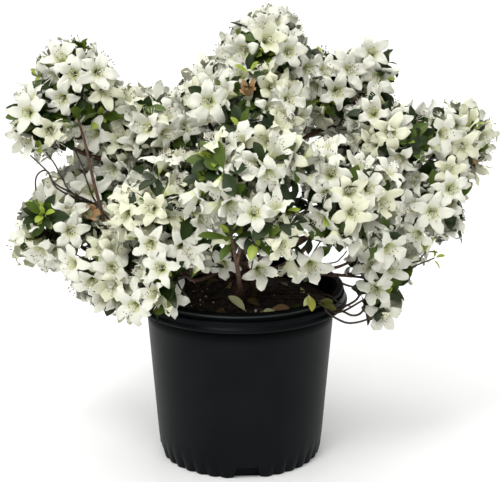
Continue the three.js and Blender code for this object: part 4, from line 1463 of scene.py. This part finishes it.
# A smooth line through points, measured along its length.
def smoothLine(points, steps=6):
    ends = [points[0] * 2 - points[1], *points, points[-1] * 2 - points[-2]]
    line = []
    for a, b, c, d in zip(ends, ends[1:], ends[2:], ends[3:]):
        linear, square, cube = c - a, a * 2 - b * 5 + c * 4 - d, b * 3 - a - c * 3 + d
        for t in np.linspace(0, 1, steps, endpoint=False):
            line.append(0.5 * (b * 2 + linear * t + square * t * t + cube * t ** 3))
    return line + [points[-1]]


# Strays with a stout foot go to the limbs, and the others to the twigs.
def growStrays(wood, limbs, trunkCurve, masses):
    shoots = []
    curves = {"": trunkCurve, **{mass["name"]: mass["curve"] for mass in masses}}
    for number, (bough, share, points, first, last, ending) in enumerate(strays):
        line = smoothLine([along(curves[bough], share)] + [Vector(p) for p in points])
        heap = limbs if first > twig["stout"] else wood
        tube(heap, line, np.linspace(first, last, len(line)), twig["straySides"])
        if ending:
            facing, count = (line[-1] - line[-4]).normalized(), strayLeaves[ending]
            shoots.append({
                "key": 200 + number, "index": number, "facing": facing, "tip": line[-1], "flowers": [],
                "count": count,
            })
    radii = [thicket["radius"] * share for share in thicket["taper"]]
    for n in range(thicket["count"]):
        root = along(curves[thicket["bough"]], dealt(thicket["along"], n, 301))
        places = enumerate(zip(thicket["middle"], thicket["spread"]))
        end = Vector(middle + spread * (2 * chance(n, 302 + i) - 1) for i, (middle, spread) in places)
        bend = root.lerp(end, 0.5) + Vector((0, 0, thicket["bow"] * (chance(n, 310) - thicket["sag"])))
        tubeAlong(wood, bentCurve(root, bend, end), 7, radii, 5)
    return shoots


# The bark's relief: its depth on trunk and limbs as a share of their radius, how it repeats round them and along
# them, and the knuckles
bark = {
    "trunkDepth": 0.2,
    "limbDepth": 0.22,
    "around": 2.2,
    "along": 0.11,
    "knuckle": 0.14,
    "knucklesAlong": 0.045,
    "flare": 0.2,
    "flareHeight": 22,
    "flareRoots": 5,
    "cutShare": 0.72,  # the trunk draws in to this share of its radius where it forks
    "trunkRings": 40,
    "limbRing": 3.2,
}


def growLimbs(trunkCurve, masses):
    heap = Heap()

    def barkRelief(seed, depth, flare=None):
        def relief(distance, angle):
            across, aside = math.cos(angle) * bark["around"], math.sin(angle) * bark["around"]
            place = Vector((across + seed, aside, distance * bark["along"]))
            rough = 1 + depth * noise.fractal(place, 0.8, 2.0, 3)
            swelling = noise.noise(Vector((seed, 7.7, distance * bark["knucklesAlong"])))
            knuckle = 1 + bark["knuckle"] * max(0, swelling) ** 0.5
            return rough * knuckle * (flare(distance, angle) if flare else 1)
        return relief

    def rootFlare(distance, angle):
        share = max(0, 1 - distance / bark["flareHeight"]) ** 2
        return 1 + bark["flare"] * share * math.cos(bark["flareRoots"] * angle + 0.7)

    shares = np.linspace(0, 1, bark["trunkRings"])
    fork, foot = plant["trunkFork"], plant["trunkFoot"]
    radii = [fork + (foot - fork) * (1 - t) ** 3 for t in shares]
    radii[-1] *= bark["cutShare"]
    path = [along(trunkCurve, t) for t in shares]
    tube(heap, path, radii, 28, barkRelief(1.5, bark["trunkDepth"], rootFlare))
    for mass in masses:
        rings = max(14, int(mass["curve"]["reach"][-1] / bark["limbRing"]))
        relief = barkRelief(3.1 * mass["index"], bark["limbDepth"])
        tubeAlong(heap, mass["curve"], rings, (mass["rootRadius"], plant["tipRadius"]), 12, relief)
    return heap


setStudio()
makePot()
makeSoil()
makeLitter()
print("pot and mix made")

trunkCurve, masses = growFrame()
trusses = growFlowers(masses)
print("frame and flowers grown")

limbHeap = growLimbs(trunkCurve, masses)
woodHeap, greenHeap = growTwigs(trusses, masses)
strayShoots = growStrays(woodHeap, limbHeap, trunkCurve, masses)
for name, heap, material, slot, nodes in (
    ("woody_limbs", limbHeap, barkWood, "bark", ["trunk"] + ["bough_" + mass["name"] for mass in masses]),
    ("twigs", woodHeap, twigWood, "bloom", ["bloom_" + mass["name"] for mass in masses]),
    ("flower_stalks", greenHeap, twigGreen, "bloom", []),
):
    piece = newObject(name, meshFrom(name, heap.points, heap.faces))
    piece.data.materials.append(material)
    dress(piece, slot, *nodes)
print("wood", len(limbHeap.faces), len(woodHeap.faces), len(greenHeap.faces))

leafShapes = [leafBlade(variant) for variant in range(leaf["variants"])]
growFallen()
leafKinds = growLeaves(trusses + strayShoots, masses)
for kind, material in (("dark", leafDark), ("mid", leafMid), ("lime", leafLime)):
    dress(spray("leaves_" + kind, leafKinds[kind], leafShapes, material, leaf["sizeSpread"], 4), "bloom")

tints = {"white": [], "ivory": [], "wilted": []}
for truss in trusses:
    key, index = truss["key"], truss["index"]
    for n, bloom in enumerate(truss["flowers"]):
        tint = "ivory" if chance(key, index, 150) > flower["ivoryAbove"] else "white"
        if chance(key, index, 160 + n) > flower["wiltedAbove"]:
            tint, bloom["variant"], bloom["size"] = "wilted", flower["wiltedVariant"], flower["wiltedSize"]
        tints[tint].append((bloom["foot"], bloom["turn"], bloom["size"], bloom["variant"]))

# The white petals are shared out over groups, so that no piece is too heavy.
groups = 4
fresh = tints["white"] + tints["ivory"]
whites = [(f"petals_white_{i + 1}", tints["white"][i::groups], "lobes", petalWhite) for i in range(groups)]
sheets = [flowerSheets(variant) for variant in range(flower["variants"])]
for name, places, sheet, material in whites + [
    ("petals_ivory", tints["ivory"], "lobes", petalIvory),
    ("petals_wilted", tints["wilted"], "lobes", petalWilted),
    ("petal_feet", fresh + tints["wilted"], "feet", petalFoot),
    ("petal_throats", fresh + tints["wilted"], "throat", throatLime),
    ("stamens", fresh, "filaments", filamentWhite),
    ("anthers", fresh, "anthers", antherBrown),
]:
    dress(spray(name, places, [shape[sheet] for shape in sheets], material), "bloom")
print("blossom made")
